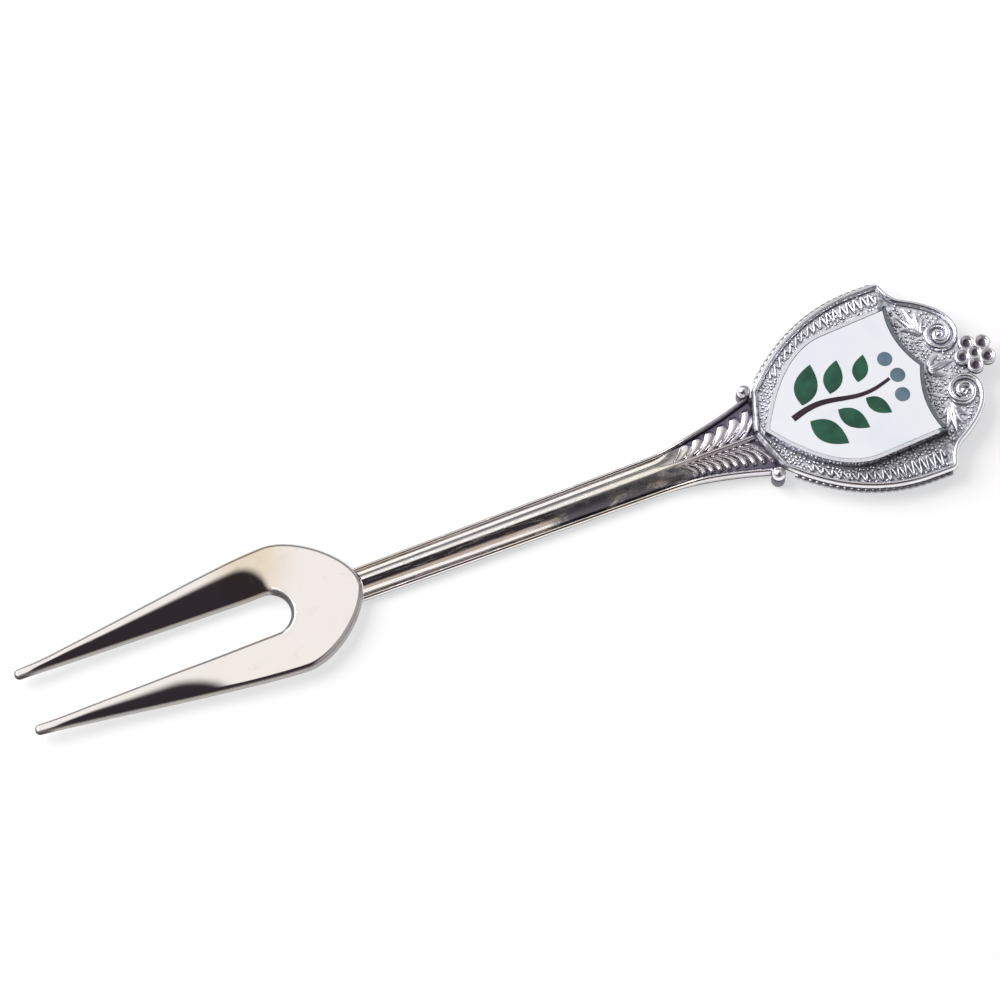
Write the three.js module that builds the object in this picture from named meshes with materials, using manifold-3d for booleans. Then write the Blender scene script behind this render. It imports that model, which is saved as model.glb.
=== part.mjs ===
// Souvenir appetizer fork: a two-tined blade brazed onto a half-round stem, whose flared
// end carries a shield-shaped ornamental head with an enamelled badge.
// Millimetres, +Z up. X runs from the tine tips to the finial, Y across, Z up from the table.
import * as THREE from "three";
import { mergeVertices } from "three/addons/utils/BufferGeometryUtils.js";
import Module from "manifold-3d";

const wasm = await Module();
wasm.setup();

// Blade, measured from the tine tips
const BLADE_LENGTH = 39.2;
const BLADE_WIDTH = 15.2;
const BLADE_THICKNESS = 1.3;
const SHOULDER_SETBACK = 8.8; // from the heel back to the widest place
const SHOULDER_ROUNDNESS = 0.42; // 0.55 would make the heel an ellipse
const SLOT_LENGTH = 30.9;
const SLOT_WIDTH = 4.8;
const TIP_SPREAD = 6.8; // between the points of the two tines
const TIP_WIDTH = 1.1;
const TIP_THICKNESS = 0.8;
const TIP_RISE = 0.4; // how far the tines curve up
const TINE_CROWN = 0.3; // rounding over the top of a tine near its tip
const FLANK_HANDLES = [0.34, 0.8]; // places along the tine that shape its outer edge
const FLANK_SWELL = [0.27, 0.95]; // how much of the widening is done at each of them
const EDGE_RADIUS = 0.35;
const HEEL_SHARE = 0.36; // of the heel's curve that lies beside the round end of the slot
const LIP_SHARE = 0.41; // of the heel's curve that lies beside the rounded lip behind the slot
const SPINE_BAND = 0.28; // share of a tine's width that holds its three middle lines

// Stem, from the heel of the blade to the toe of the head
const STEM_LENGTH = 46.8;
const NECK_WIDTH = 3.9;
const CROWN_WIDTH = 4.6; // where the flare begins
const FLARE_LENGTH = 12.0;
const FLARE_WIDTH = 9.6;
const FLARE_OVERRUN = 0.9; // how far the flare runs past the toe of the head
const FLARE_SWELL = 1.7; // power of the curve by which the flare opens
const LAP_HEIGHT = 1.1; // top of the tongue under the blade
const TONGUE_LENGTH = 7.0;
const TONGUE_WIDTH = 3.0;
const TAB_HEIGHT = 1.1; // top of the tab under the head
const TAB_LENGTH = 9.0;
const TAB_WIDTH = 4.6;
const BORDER_WIDTH = 0.5;
const BORDER_HEIGHT = 1.2;
const BORDER_GROOVE = 0.2;
const PANEL_HEIGHT = 1.5; // ground of the struck leaf on the flare
const PANEL_BORDER = 1.95; // height of the border beside that leaf
const RIB_HEIGHT = 2.1;
const RIB_WIDTH = 0.7;
const LEAF_LOBES = 6; // on each side of the rib
const LEAF_LEAD = 3.6; // from the start of the flare to the first lobes
const LEAF_SWEEP = 38; // degrees from the stem's axis
const LOBE_WIDTH = 0.95;
const LOBE_HEIGHT = 0.5;
const LOBE_FILL = 0.85; // share of the way from the rib to the border that a lobe fills
const FOOT_CHAMFER = 0.6; // height of the slope under each side; it goes in half as far
const END_FLAT = 0.2; // how far the round ends of the tongue and the tab are cut off square
const BRAZE_GAP = 0.1;

// Head, measured from its toe, which lies on the stem's axis
const PLATE_THICKNESS = 1.2;
const HEAD_WIDTH = 23.8;
const TOE_DEPTH = 1.6;
const TOE_WIDTH = 9.8;
const SIDE_PULL = 6.7; // handle of the curve that swells the sides
const SIDE_STRAIGHT = 3.0;
const EAR_STATION = 19.7;
const EAR_DEPTH = 1.8; // along the axis, from the ear's corner to the foot of its notch
const EAR_NOTCH = 2.9; // across, from the ear's corner to the foot of its notch
const CREST_RISE = 6.35; // from the ears to the top of the volutes
const CREST_SWELL = 2.9; // how far the crest's curve is pulled out past the volutes' centres
const FINIAL_NECK = 3.0; // width of the plate where it runs out under the finial
const FINIAL_NOTCH = 0.6; // depth of the dip between the volute and the finial
const PLATE_INSET = 0.4; // the border wire overhangs the plate by this much
const WIRE_WIDTH = 0.75;
const WIRE_HEIGHT = 0.7;
const VOLUTE_RADIUS = 1.95;
const VOLUTE_EYE = 0.45;
const VOLUTE_STEPS = 14; // facets in one turn
const VOLUTE_GAP = 0.18; // between one turn and the next
const VOLUTE_SPREAD = 1.17; // between the finial's petals and the volute's centre, across
const GRAIN_RADIUS = 0.36; // beaded wire under the border
const GRAIN_WAIST = 0.22;
const GRAIN_PITCH = 0.78;
const GRAIN_LEAD = 1.2; // plain plate edge at each end of the beaded wire
const SOLDER_GAP = 0.05;
const FILIGREE_WIDTH = 0.42;
const FILIGREE_HEIGHT = 0.4;
const FILIGREE_PITCH = 1.5;
const FILIGREE_CLEARANCE = 0.25;
const FILIGREE_LEAD = 2.6; // from the corner of the toe
const FILIGREE_SETBACK = 0.9; // from the ear

// Flower finial and the two shoulder beads
const FINIAL_RISE = 0.5; // from the top of the volutes to the flower's eye
const PETAL_COUNT = 5;
const PETAL_RADIUS = 0.98;
const PETAL_RING = 1.45;
const PETAL_HEIGHT = 0.95;
const PETAL_BEVEL = 0.25;
const PETAL_CUP = 0.6;
const EYE_CUP = 0.5;
const CUP_DEPTH = 0.45;
const BEAD_RADIUS = 0.78;
const BEAD_SINK = 0.3; // how much of the ball is flattened onto its pad
const BEAD_STATION = 0.8;
const BEAD_OVERHANG = 0.45; // of the ball's centre past the edge of the flare

// Badge, measured from its own tip
const BAND_WIDTH = 3.8; // between the badge's side and the head's
const BADGE_TIP_ANGLE = 58; // degrees between the axis and each edge at the tip
const BADGE_SIDE_START = 10.5;
const BADGE_CUSP = 0.9; // how far the middle of the top stands past the corners
const BADGE_SCOOP = 0.9; // how deep the two top arcs dip
const BADGE_STATION = 1.05; // its tip, from the toe of the head
const BADGE_TURN = 3; // degrees out of square, as it was cemented by hand
const CEMENT_THICKNESS = 0.2;
const CEMENT_INSET = 0.7;
const TRAY_HEIGHT = 1.4;
const TRAY_FLOOR = 0.6;
const TRAY_WALL = 0.4;
const TRAY_BEVEL = 0.15;
const ENAMEL_GAP = 0.06;

// Sprig on the badge
const TWIG_START = 3.4;
const TWIG_SWAY = 0.5;
const TWIG_WIDTH = 0.75;
const LEAF_LENGTH = 5.0; // of the lowest pair
const LEAF_SHRINK = 0.82; // each pair against the one below it
const LEAF_PAIRS = 3;
const LEAF_STATION = 5.0;
const LEAF_GAP = 0.8; // white between one leaf and the next
const LEAF_ANGLE = 55;
const LEAF_BELLY = 0.4; // where along its length a leaf is widest
const BERRY_RADIUS = 0.85;
const BERRY_SETBACK = 2.4; // from the badge's corners
const BERRY_SPREAD = 2.3;
const BERRY_DROP = 0.5;
const BERRY_GAP = 1.0; // between the berries and the topmost leaves
const CELL_SPACE = 0.15; // white left between neighbouring colours

// Places that follow from the sizes above
const TOE_STATION = BLADE_LENGTH + STEM_LENGTH;
const FLARE_STATION = TOE_STATION - FLARE_LENGTH;
const CROWN_HEIGHT = LAP_HEIGHT + BLADE_THICKNESS;
const PLATE_TOP = TAB_HEIGHT + PLATE_THICKNESS;
const PETAL_STEP = (2 * Math.PI) / PETAL_COUNT;
const SHOULDER_STATION = EAR_STATION + CREST_RISE;
const SHOULDER_OFFSET = PETAL_RING + PETAL_RADIUS + VOLUTE_SPREAD;
const VOLUTE_TURNS = (VOLUTE_RADIUS - VOLUTE_EYE) / (WIRE_WIDTH + VOLUTE_GAP);
const FLOWER_STATION = SHOULDER_STATION + FINIAL_RISE;
const BEAD_OFFSET = FLARE_WIDTH / 2 + BEAD_OVERHANG;
const FINIAL_REACH = PETAL_RING * Math.cos(PETAL_STEP / 2) + PETAL_RADIUS;
const TOTAL_LENGTH = TOE_STATION + FLOWER_STATION + FINIAL_REACH;
const TRAY_BASE = PLATE_TOP + CEMENT_THICKNESS;
const ENAMEL_BASE = TRAY_BASE + TRAY_FLOOR;
const ENAMEL_TOP = TRAY_BASE + TRAY_HEIGHT;
const BADGE_LENGTH = EAR_STATION - BADGE_STATION; // its corners stand level with the ears
const BADGE_WIDTH = HEAD_WIDTH - 2 * BAND_WIDTH;
const BERRY_STATION = BADGE_LENGTH - BERRY_SETBACK;
const LEAF_SPACING = (BERRY_STATION - BERRY_GAP - LEAF_STATION) / LEAF_PAIRS;
const LEAF_WIDTH = LEAF_SPACING - LEAF_GAP;
const LEAF_STALK = TWIG_SWAY + TWIG_WIDTH / 2 + CELL_SPACE;
const TWIG_END = BERRY_STATION - BERRY_RADIUS - CELL_SPACE;

const lerp = THREE.MathUtils.lerp;
const smoothstep = THREE.MathUtils.smoothstep;
const radians = THREE.MathUtils.degToRad;

// Geometry helpers

// A mesh from loose triangles, turned to face outwards.
function closedGeometry(triangles) {
  let volume = 0;
  for (const [a, b, c] of triangles) {
    volume += a.dot(new THREE.Vector3().crossVectors(b, c));
  }
  const corners = triangles.flatMap(([a, b, c]) => (volume < 0 ? [a, c, b] : [a, b, c]));
  return new THREE.BufferGeometry().setFromPoints(corners);
}

// A body lofted through rings of equal count, each closed by a flat cap at the ends.
function loft(rings) {
  const triangles = [];
  const count = rings[0].length;
  for (let i = 0; i + 1 < rings.length; i += 1) {
    for (let k = 0; k < count; k += 1) {
      const next = (k + 1) % count;
      triangles.push([rings[i][k], rings[i + 1][k], rings[i + 1][next]]);
      triangles.push([rings[i][k], rings[i + 1][next], rings[i][next]]);
    }
  }
  for (const [ring, turned] of [[rings[0], false], [rings.at(-1), true]]) {
    for (let k = 1; k + 1 < count; k += 1) {
      const cap = [ring[0], ring[k], ring[k + 1]];
      triangles.push(turned ? cap.reverse() : cap);
    }
  }
  return closedGeometry(triangles);
}

// A flat plate between two heights, its edges broken by a bevel.
function plate(outline, bottom, top, bevel = 0, holes = []) {
  const shape = new THREE.Shape(outline);
  shape.holes = holes.map((hole) => new THREE.Path(hole));
  const geometry = new THREE.ExtrudeGeometry(shape, {
    depth: top - bottom - 2 * bevel,
    bevelEnabled: bevel > 0,
    bevelThickness: bevel,
    bevelSize: bevel,
    bevelOffset: -bevel,
    bevelSegments: 1,
  });
  return geometry.translate(0, 0, bottom + bevel);
}

function toSolid(geometry) {
  const bare = geometry.clone();
  bare.deleteAttribute("normal");
  bare.deleteAttribute("uv");
  const merged = mergeVertices(bare, 1e-4);
  return new wasm.Manifold(
    new wasm.Mesh({
      numProp: 3,
      vertProperties: new Float32Array(merged.attributes.position.array),
      triVerts: new Uint32Array(merged.index.array),
    }),
  );
}

function toGeometry(solid) {
  const mesh = solid.getMesh();
  const geometry = new THREE.BufferGeometry();
  geometry.setAttribute("position", new THREE.BufferAttribute(mesh.vertProperties, 3));
  geometry.setIndex(new THREE.BufferAttribute(mesh.triVerts, 1));
  return geometry;
}

function joined(geometries) {
  return geometries.map(toSolid).reduce((whole, piece) => whole.add(piece));
}

// The mitred outward normal at each point of a level polyline.
function normalsAlong(points, closed) {
  const last = points.length - 1;
  return points.map((point, i) => {
    const before = points[i > 0 ? i - 1 : closed ? last : 0];
    const after = points[i < last ? i + 1 : closed ? 0 : last];
    const sides = [[before, point], [point, after]].filter(([from, to]) => from !== to);
    const normal = new THREE.Vector2();
    for (const [from, to] of sides) {
      const along = to.clone().sub(from).normalize();
      normal.add(new THREE.Vector2(along.y, -along.x));
    }
    normal.normalize();
    const along = sides[0][1].clone().sub(sides[0][0]).normalize();
    const spread = Math.max(0.5, normal.dot(new THREE.Vector2(along.y, -along.x)));
    return normal.divideScalar(spread);
  });
}

// An anticlockwise outline moved outwards, or inwards by a negative distance.
function offset(points, distance, closed = true) {
  const normals = normalsAlong(points, closed);
  return points.map((point, i) => point.clone().addScaledVector(normals[i], distance));
}

// A level polyline as one curve, which can be measured and stepped along evenly.
function polyline(points) {
  const curve = new THREE.CurvePath();
  for (let i = 0; i + 1 < points.length; i += 1) {
    curve.add(new THREE.LineCurve(points[i], points[i + 1]));
  }
  return curve;
}

// Half-round wire soldered down along a level path; the flat of the wire is its foot.
function halfRoundWire(path, width, height, seat, sides = 5) {
  const normals = normalsAlong(path, false);
  const rings = path.map((point, i) => {
    return Array.from({ length: sides + 1 }, (_, k) => {
      const turn = (Math.PI * k) / sides;
      const foot = point.clone().addScaledVector(normals[i], (width / 2) * Math.cos(turn));
      return new THREE.Vector3(foot.x, foot.y, seat + height * Math.sin(turn));
    });
  });
  for (const ring of rings) {
    ring[0].z = seat;
    ring.at(-1).z = seat;
  }
  return loft(rings);
}

const mirrored = (points) => points.map((point) => new THREE.Vector2(point.x, -point.y));
const shifted = (points, x) => points.map((point) => new THREE.Vector2(point.x + x, point.y));

// The whole anticlockwise outline from the half on the +Y side, which runs tip to top.
function wholeOutline(half) {
  const first = half[0].y === 0 ? 1 : 0;
  const top = half.at(-1).y === 0 ? -1 : half.length;
  return [...mirrored(half), ...half.slice(first, top).reverse()];
}

// Tine blade

// The edges of one tine as matching curves: inner and outer, from the tip to the heel.
function bladeEdges() {
  const tipRadius = TIP_WIDTH / 2;
  const tip = TIP_SPREAD / 2;
  const slot = SLOT_WIDTH / 2;
  const half = BLADE_WIDTH / 2;
  const widest = BLADE_LENGTH - SHOULDER_SETBACK;
  const reach = SHOULDER_SETBACK * SHOULDER_ROUNDNESS;
  const at = (x, y) => new THREE.Vector2(x, y);
  const heel = new THREE.CubicBezierCurve(
    at(widest, half),
    at(widest + reach, half),
    at(BLADE_LENGTH, half * SHOULDER_ROUNDNESS),
    at(BLADE_LENGTH, 0),
  );
  const shaping = FLANK_HANDLES.map((share, i) => {
    return at(widest * share, lerp(tip + tipRadius, half, FLANK_SWELL[i]));
  });
  const flank = new THREE.CubicBezierCurve(
    at(tipRadius, tip + tipRadius),
    ...shaping,
    at(widest, half),
  );
  const round = (end) => (t) => {
    const turn = Math.PI - (Math.PI / 2) * t;
    const across = end * tipRadius * Math.sin(turn);
    return at(tipRadius + tipRadius * Math.cos(turn), tip + across);
  };
  const slotStart = SLOT_LENGTH - slot;
  const slotWall = new THREE.LineCurve(at(tipRadius, tip - tipRadius), at(slotStart, slot));
  const slotEnd = new THREE.EllipseCurve(slotStart, 0, slot, slot, Math.PI / 2, 0, true);
  const behind = at(SLOT_LENGTH + EDGE_RADIUS, 0);
  const lip = new THREE.LineCurve(at(SLOT_LENGTH, 0), behind);
  const middle = new THREE.LineCurve(behind, at(BLADE_LENGTH, 0));
  return [
    { steps: 3, open: true, inner: round(-1), outer: round(1) },
    { steps: 9, open: true, inner: (t) => slotWall.getPoint(t), outer: (t) => flank.getPoint(t) },
    { steps: 6, open: true, inner: (t) => slotEnd.getPoint(t), outer: (t) => heel.getPoint(t * HEEL_SHARE) },
    {
      steps: 1,
      open: false,
      inner: (t) => lip.getPoint(t),
      outer: (t) => heel.getPoint(lerp(HEEL_SHARE, LIP_SHARE, t)),
    },
    {
      steps: 6,
      open: false,
      inner: (t) => middle.getPoint(t),
      outer: (t) => heel.getPoint(lerp(LIP_SHARE, 1, t)),
    },
  ];
}

// How far a rounded edge has fallen at a distance in from the edge.
function edgeFall(distance, radius) {
  const inside = Math.max(0, radius - distance);
  return radius - Math.sqrt(radius * radius - inside * inside);
}

// Top and bottom of the blade across one station, from the inner edge to the outer.
function bladeRow(inner, outer, open) {
  const width = inner.distanceTo(outer);
  const lip = Math.min(EDGE_RADIUS, width / 4);
  const spine = [-0.5, 0, 0.5].map((place) => width * (0.5 + SPINE_BAND * place));
  const across = [0, lip / 3, lip, ...spine, width - lip, width - lip / 3, width];
  return across.map((distance) => {
    const place = inner.clone().lerp(outer, width > 0 ? distance / width : 0);
    const forward = THREE.MathUtils.clamp(1 - place.x / SLOT_LENGTH, 0, 1);
    const thickness = lerp(BLADE_THICKNESS, TIP_THICKNESS, forward);
    const side = width > 0 ? (2 * distance) / width - 1 : 0;
    const edge = Math.min(width - distance, open ? distance : width);
    const fall = edgeFall(edge, EDGE_RADIUS);
    const crown = open ? TINE_CROWN * smoothstep(forward, 0, 0.5) * side * side : 0;
    const base = LAP_HEIGHT + TIP_RISE * forward * forward;
    return {
      top: new THREE.Vector3(place.x, place.y, base + thickness - fall - crown),
      bottom: new THREE.Vector3(place.x, place.y, base + fall * 0.5),
    };
  });
}

function bladeGeometry() {
  const rows = [];
  for (const { steps, open, inner, outer } of bladeEdges()) {
    for (let i = rows.length > 0 ? 1 : 0; i <= steps; i += 1) {
      rows.push({ open, cells: bladeRow(inner(i / steps), outer(i / steps), open) });
    }
  }
  const triangles = [];
  const quad = (a, b, c, d) => triangles.push([a, b, c], [a, c, d]);
  for (let i = 0; i + 1 < rows.length; i += 1) {
    const near = rows[i].cells;
    const far = rows[i + 1].cells;
    for (let k = 0; k + 1 < near.length; k += 1) {
      quad(near[k].top, far[k].top, far[k + 1].top, near[k + 1].top);
      quad(near[k].bottom, near[k + 1].bottom, far[k + 1].bottom, far[k].bottom);
    }
    quad(near.at(-1).top, far.at(-1).top, far.at(-1).bottom, near.at(-1).bottom);
    if (rows[i + 1].open) {
      quad(near[0].bottom, far[0].bottom, far[0].top, near[0].top);
    }
  }
  const flip = ({ x, y, z }) => new THREE.Vector3(x, -y, z);
  const others = triangles.map(([a, b, c]) => [flip(a), flip(c), flip(b)]);
  return closedGeometry([...triangles, ...others]);
}

// The blade's heel in plan, from the widest place round the back.
function heelOutline() {
  const half = bladeEdges().slice(-3).flatMap(({ steps, outer }) => {
    return Array.from({ length: steps }, (_, i) => outer(i / steps));
  });
  half.push(new THREE.Vector2(BLADE_LENGTH, 0));
  return wholeOutline(half);
}

// Stem

// Half the stem's width at a station.
function stemHalfWidth(x) {
  const neck = BLADE_LENGTH;
  const tongueTip = neck - TONGUE_LENGTH;
  const flareEnd = TOE_STATION + FLARE_OVERRUN;
  const tabEnd = TOE_STATION + TAB_LENGTH;
  const roundEnd = (reach, radius) => Math.sqrt(Math.max(0, 1 - (1 - reach / radius) ** 2));
  if (x < neck) {
    const straight = lerp(TONGUE_WIDTH, NECK_WIDTH, (x - tongueTip) / TONGUE_LENGTH) / 2;
    const reach = x - tongueTip + END_FLAT;
    return straight * roundEnd(Math.min(reach, TONGUE_WIDTH / 2), TONGUE_WIDTH / 2);
  }
  if (x <= FLARE_STATION) {
    return lerp(NECK_WIDTH, CROWN_WIDTH, (x - neck) / (FLARE_STATION - neck)) / 2;
  }
  if (x <= flareEnd) {
    const along = (x - FLARE_STATION) / (flareEnd - FLARE_STATION);
    return lerp(CROWN_WIDTH, FLARE_WIDTH, along ** FLARE_SWELL) / 2;
  }
  const taper = smoothstep(x, flareEnd, tabEnd - TAB_WIDTH / 2);
  const reach = tabEnd - x + END_FLAT;
  const straight = lerp(FLARE_WIDTH, TAB_WIDTH, taper) / 2;
  return straight * roundEnd(Math.min(reach, TAB_WIDTH / 2), TAB_WIDTH / 2);
}

// One section of the stem: flat foot, threaded borders, and a crown that turns into a
// sunk panel with a middle rib as the flare opens.
function stemRing(x) {
  const half = stemHalfWidth(x);
  const struck = smoothstep(x, FLARE_STATION, FLARE_STATION + FLARE_LENGTH / 2);
  const border = lerp(BORDER_HEIGHT, PANEL_BORDER, struck);
  const rim = Math.min(BORDER_WIDTH, half / 3);
  const groove = half - rim;
  const ground = lerp(border - BORDER_GROOVE, PANEL_HEIGHT, struck);
  const ridge = Math.min(RIB_WIDTH / 2, groove / 3);
  const top = (y) => {
    const crown = lerp(ground, CROWN_HEIGHT, 1 - (y / groove) ** 2);
    const panel = y > 0 ? PANEL_HEIGHT : RIB_HEIGHT;
    return lerp(crown, panel, struck);
  };
  const side = [
    [half - FOOT_CHAMFER / 2, 0],
    [half, FOOT_CHAMFER],
    [half, border - rim / 3],
    [half - rim / 3, border],
    [half - (rim * 2) / 3, border],
    [groove, ground],
  ];
  for (const share of [0.75, 0.5, 0.25, 0]) {
    const y = lerp(ridge, groove, share);
    side.push([y, top(y)]);
  }
  side.push([0, top(0)]);
  const other = side.slice(0, -1).reverse();
  return [
    ...side.map(([y, z]) => new THREE.Vector3(x, y, z)),
    ...other.map(([y, z]) => new THREE.Vector3(x, -y, z)),
  ];
}

// Stations along the stem: close where the outline turns, wide apart where it is straight.
function stemStations() {
  const tongueTip = BLADE_LENGTH - TONGUE_LENGTH;
  const flareEnd = TOE_STATION + FLARE_OVERRUN;
  const tabEnd = TOE_STATION + TAB_LENGTH;
  const span = (from, to, steps) => {
    return Array.from({ length: steps }, (_, i) => lerp(from, to, i / steps));
  };
  return [
    ...span(tongueTip, tongueTip + TONGUE_WIDTH / 2, 4),
    ...span(tongueTip + TONGUE_WIDTH / 2, BLADE_LENGTH, 2),
    ...span(BLADE_LENGTH, FLARE_STATION, 4),
    ...span(FLARE_STATION, flareEnd, 10),
    ...span(flareEnd, tabEnd - TAB_WIDTH / 2, 4),
    ...span(tabEnd - TAB_WIDTH / 2, tabEnd, 4),
    tabEnd,
  ];
}

// The curled lobes of the leaf struck into the flare, swept outwards towards the head.
function leafLobes() {
  const lobes = [];
  const first = FLARE_STATION + LEAF_LEAD;
  const last = TOE_STATION - LOBE_WIDTH;
  for (let i = 0; i < LEAF_LOBES; i += 1) {
    const x = lerp(first, last, i / (LEAF_LOBES - 1));
    const inside = RIB_WIDTH / 2;
    const outside = stemHalfWidth(x) - BORDER_WIDTH;
    const reach = (outside - inside) / Math.sin(radians(LEAF_SWEEP)) / 2;
    for (const side of [1, -1]) {
      const lobe = new THREE.SphereGeometry(1, 8, 6);
      lobe.rotateX(Math.PI / 2);
      lobe.scale(reach * LOBE_FILL, LOBE_WIDTH / 2, LOBE_HEIGHT);
      lobe.rotateZ(side * radians(LEAF_SWEEP));
      lobe.translate(x, (side * (inside + outside)) / 2, PANEL_HEIGHT);
      lobes.push(lobe);
    }
  }
  return lobes;
}

function stemGeometry() {
  const pads = [1, -1].map((side) => {
    const pad = new THREE.CylinderGeometry(BEAD_RADIUS, BEAD_RADIUS, PANEL_BORDER, 16);
    pad.rotateX(Math.PI / 2);
    return pad.translate(TOE_STATION + BEAD_STATION, side * BEAD_OFFSET, PANEL_BORDER / 2);
  });
  const body = joined([loft(stemStations().map(stemRing)), ...leafLobes(), ...pads]);
  const high = CROWN_HEIGHT + RIB_HEIGHT;
  const bladeSeat = plate(offset(heelOutline(), BRAZE_GAP), LAP_HEIGHT, high);
  const headSeat = plate(
    shifted(offset(wholeOutline(headHalfOutline()), BRAZE_GAP), TOE_STATION),
    TAB_HEIGHT,
    high,
  );
  return toGeometry(body.subtract(toSolid(bladeSeat)).subtract(toSolid(headSeat)));
}

// Head

// The outer edge of the border wire on the +Y side, from the toe to the volute.
function headHalfOutline() {
  const half = HEAD_WIDTH / 2;
  const path = new THREE.Path();
  path.moveTo(0, 0);
  path.lineTo(TOE_DEPTH, TOE_WIDTH / 2);
  path.quadraticCurveTo(TOE_DEPTH + SIDE_PULL, half, EAR_STATION - SIDE_STRAIGHT, half);
  path.lineTo(EAR_STATION, half);
  const notchX = EAR_STATION + EAR_DEPTH;
  const notchY = half - EAR_NOTCH;
  path.quadraticCurveTo(EAR_STATION + EAR_DEPTH / 4, notchY + EAR_NOTCH / 4, notchX, notchY);
  const shoulder = SHOULDER_OFFSET + CREST_SWELL;
  path.quadraticCurveTo(SHOULDER_STATION, shoulder, SHOULDER_STATION, SHOULDER_OFFSET);
  return path.getPoints(8);
}

// The plate under the border wire, with the round tab that carries the finial.
function backPlateGeometry() {
  const half = headHalfOutline();
  half.push(new THREE.Vector2(SHOULDER_STATION - FINIAL_NOTCH, FINIAL_NECK / 2 + PLATE_INSET));
  half.push(new THREE.Vector2(FLOWER_STATION, FINIAL_NECK / 2));
  const outline = offset(wholeOutline(half), -PLATE_INSET);
  const tab = new THREE.CylinderGeometry(PETAL_RING, PETAL_RING, PLATE_THICKNESS, 20);
  tab.rotateX(Math.PI / 2);
  tab.translate(FLOWER_STATION, 0, TAB_HEIGHT + PLATE_THICKNESS / 2);
  return toGeometry(joined([plate(outline, TAB_HEIGHT, PLATE_TOP), tab]));
}

// One side's border wire: it runs from the toe round the ear and curls into a volute.
function borderWireGeometry(side) {
  const rim = WIRE_WIDTH / 2;
  const edge = offset(headHalfOutline(), rim, false);
  const along = edge[1].clone().sub(edge[0]).normalize();
  const clear = rim * along.x + SOLDER_GAP - edge[0].y;
  edge[0].addScaledVector(along, clear / along.y);
  const centre = new THREE.Vector2(edge.at(-1).x - VOLUTE_RADIUS, SHOULDER_OFFSET);
  const steps = Math.round(VOLUTE_TURNS * VOLUTE_STEPS);
  for (let i = 1; i <= steps; i += 1) {
    const turn = (-2 * Math.PI * VOLUTE_TURNS * i) / steps;
    const radius = lerp(VOLUTE_RADIUS, VOLUTE_EYE, i / steps);
    const spoke = new THREE.Vector2(Math.cos(turn), Math.sin(turn));
    edge.push(spoke.multiplyScalar(radius).add(centre));
  }
  const path = side > 0 ? edge : mirrored(edge);
  return halfRoundWire(path, WIRE_WIDTH, WIRE_HEIGHT, PLATE_TOP);
}

// Beaded wire round the edge of the plate, tucked under the overhang of the border wire.
function beadedWireGeometry(side) {
  const away = PLATE_INSET - SOLDER_GAP - GRAIN_RADIUS;
  const edge = offset(headHalfOutline(), away, false).filter((point) => {
    return point.x > TOE_DEPTH + GRAIN_LEAD / 2 && point.x < EAR_STATION - GRAIN_LEAD / 2;
  });
  const grains = Math.round(polyline(edge).getLength() / GRAIN_PITCH);
  const path = polyline(edge).getSpacedPoints(grains * 3);
  const normals = normalsAlong(path, false);
  const height = PLATE_TOP - SOLDER_GAP - GRAIN_RADIUS;
  const rings = path.map((point, i) => {
    const radius = i % 3 === 0 ? GRAIN_WAIST : GRAIN_RADIUS;
    return Array.from({ length: 6 }, (_, k) => {
      const turn = (2 * Math.PI * k) / 6;
      const place = point.clone().addScaledVector(normals[i], radius * Math.cos(turn));
      return new THREE.Vector3(place.x, side * place.y, height + radius * Math.sin(turn));
    });
  });
  return loft(rings);
}

// How far an outline reaches across at a station, on one side of the axis.
function reachAcross(outline, x, side) {
  let reach = 0;
  outline.forEach((point, i) => {
    const next = outline[(i + 1) % outline.length];
    if (point.x <= x !== next.x <= x) {
      const y = lerp(point.y, next.y, (x - point.x) / (next.x - point.x));
      reach = Math.max(reach, side * y);
    }
  });
  return reach;
}

// Waved filigree wire filling the band between the badge and the border wire.
function filigreeGeometry(side) {
  const rim = offset(wholeOutline(headHalfOutline()), -WIRE_WIDTH);
  const badge = turnedBadge(badgeOutline());
  const start = TOE_DEPTH + FILIGREE_LEAD;
  const end = EAR_STATION - FILIGREE_SETBACK;
  const waves = Math.round((end - start) / FILIGREE_PITCH);
  const steps = waves * 6;
  const spare = FILIGREE_WIDTH / 2 + FILIGREE_CLEARANCE;
  const path = Array.from({ length: steps + 1 }, (_, i) => {
    const x = lerp(start, end, i / steps);
    const outside = reachAcross(rim, x, side) - spare;
    const inside = reachAcross(badge, x, side) + spare;
    const wave = (1 + Math.sin((2 * Math.PI * waves * i) / steps)) / 2;
    return new THREE.Vector2(x, side * lerp(inside, outside, wave));
  });
  return halfRoundWire(path, FILIGREE_WIDTH, FILIGREE_HEIGHT, PLATE_TOP, 4);
}

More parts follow.
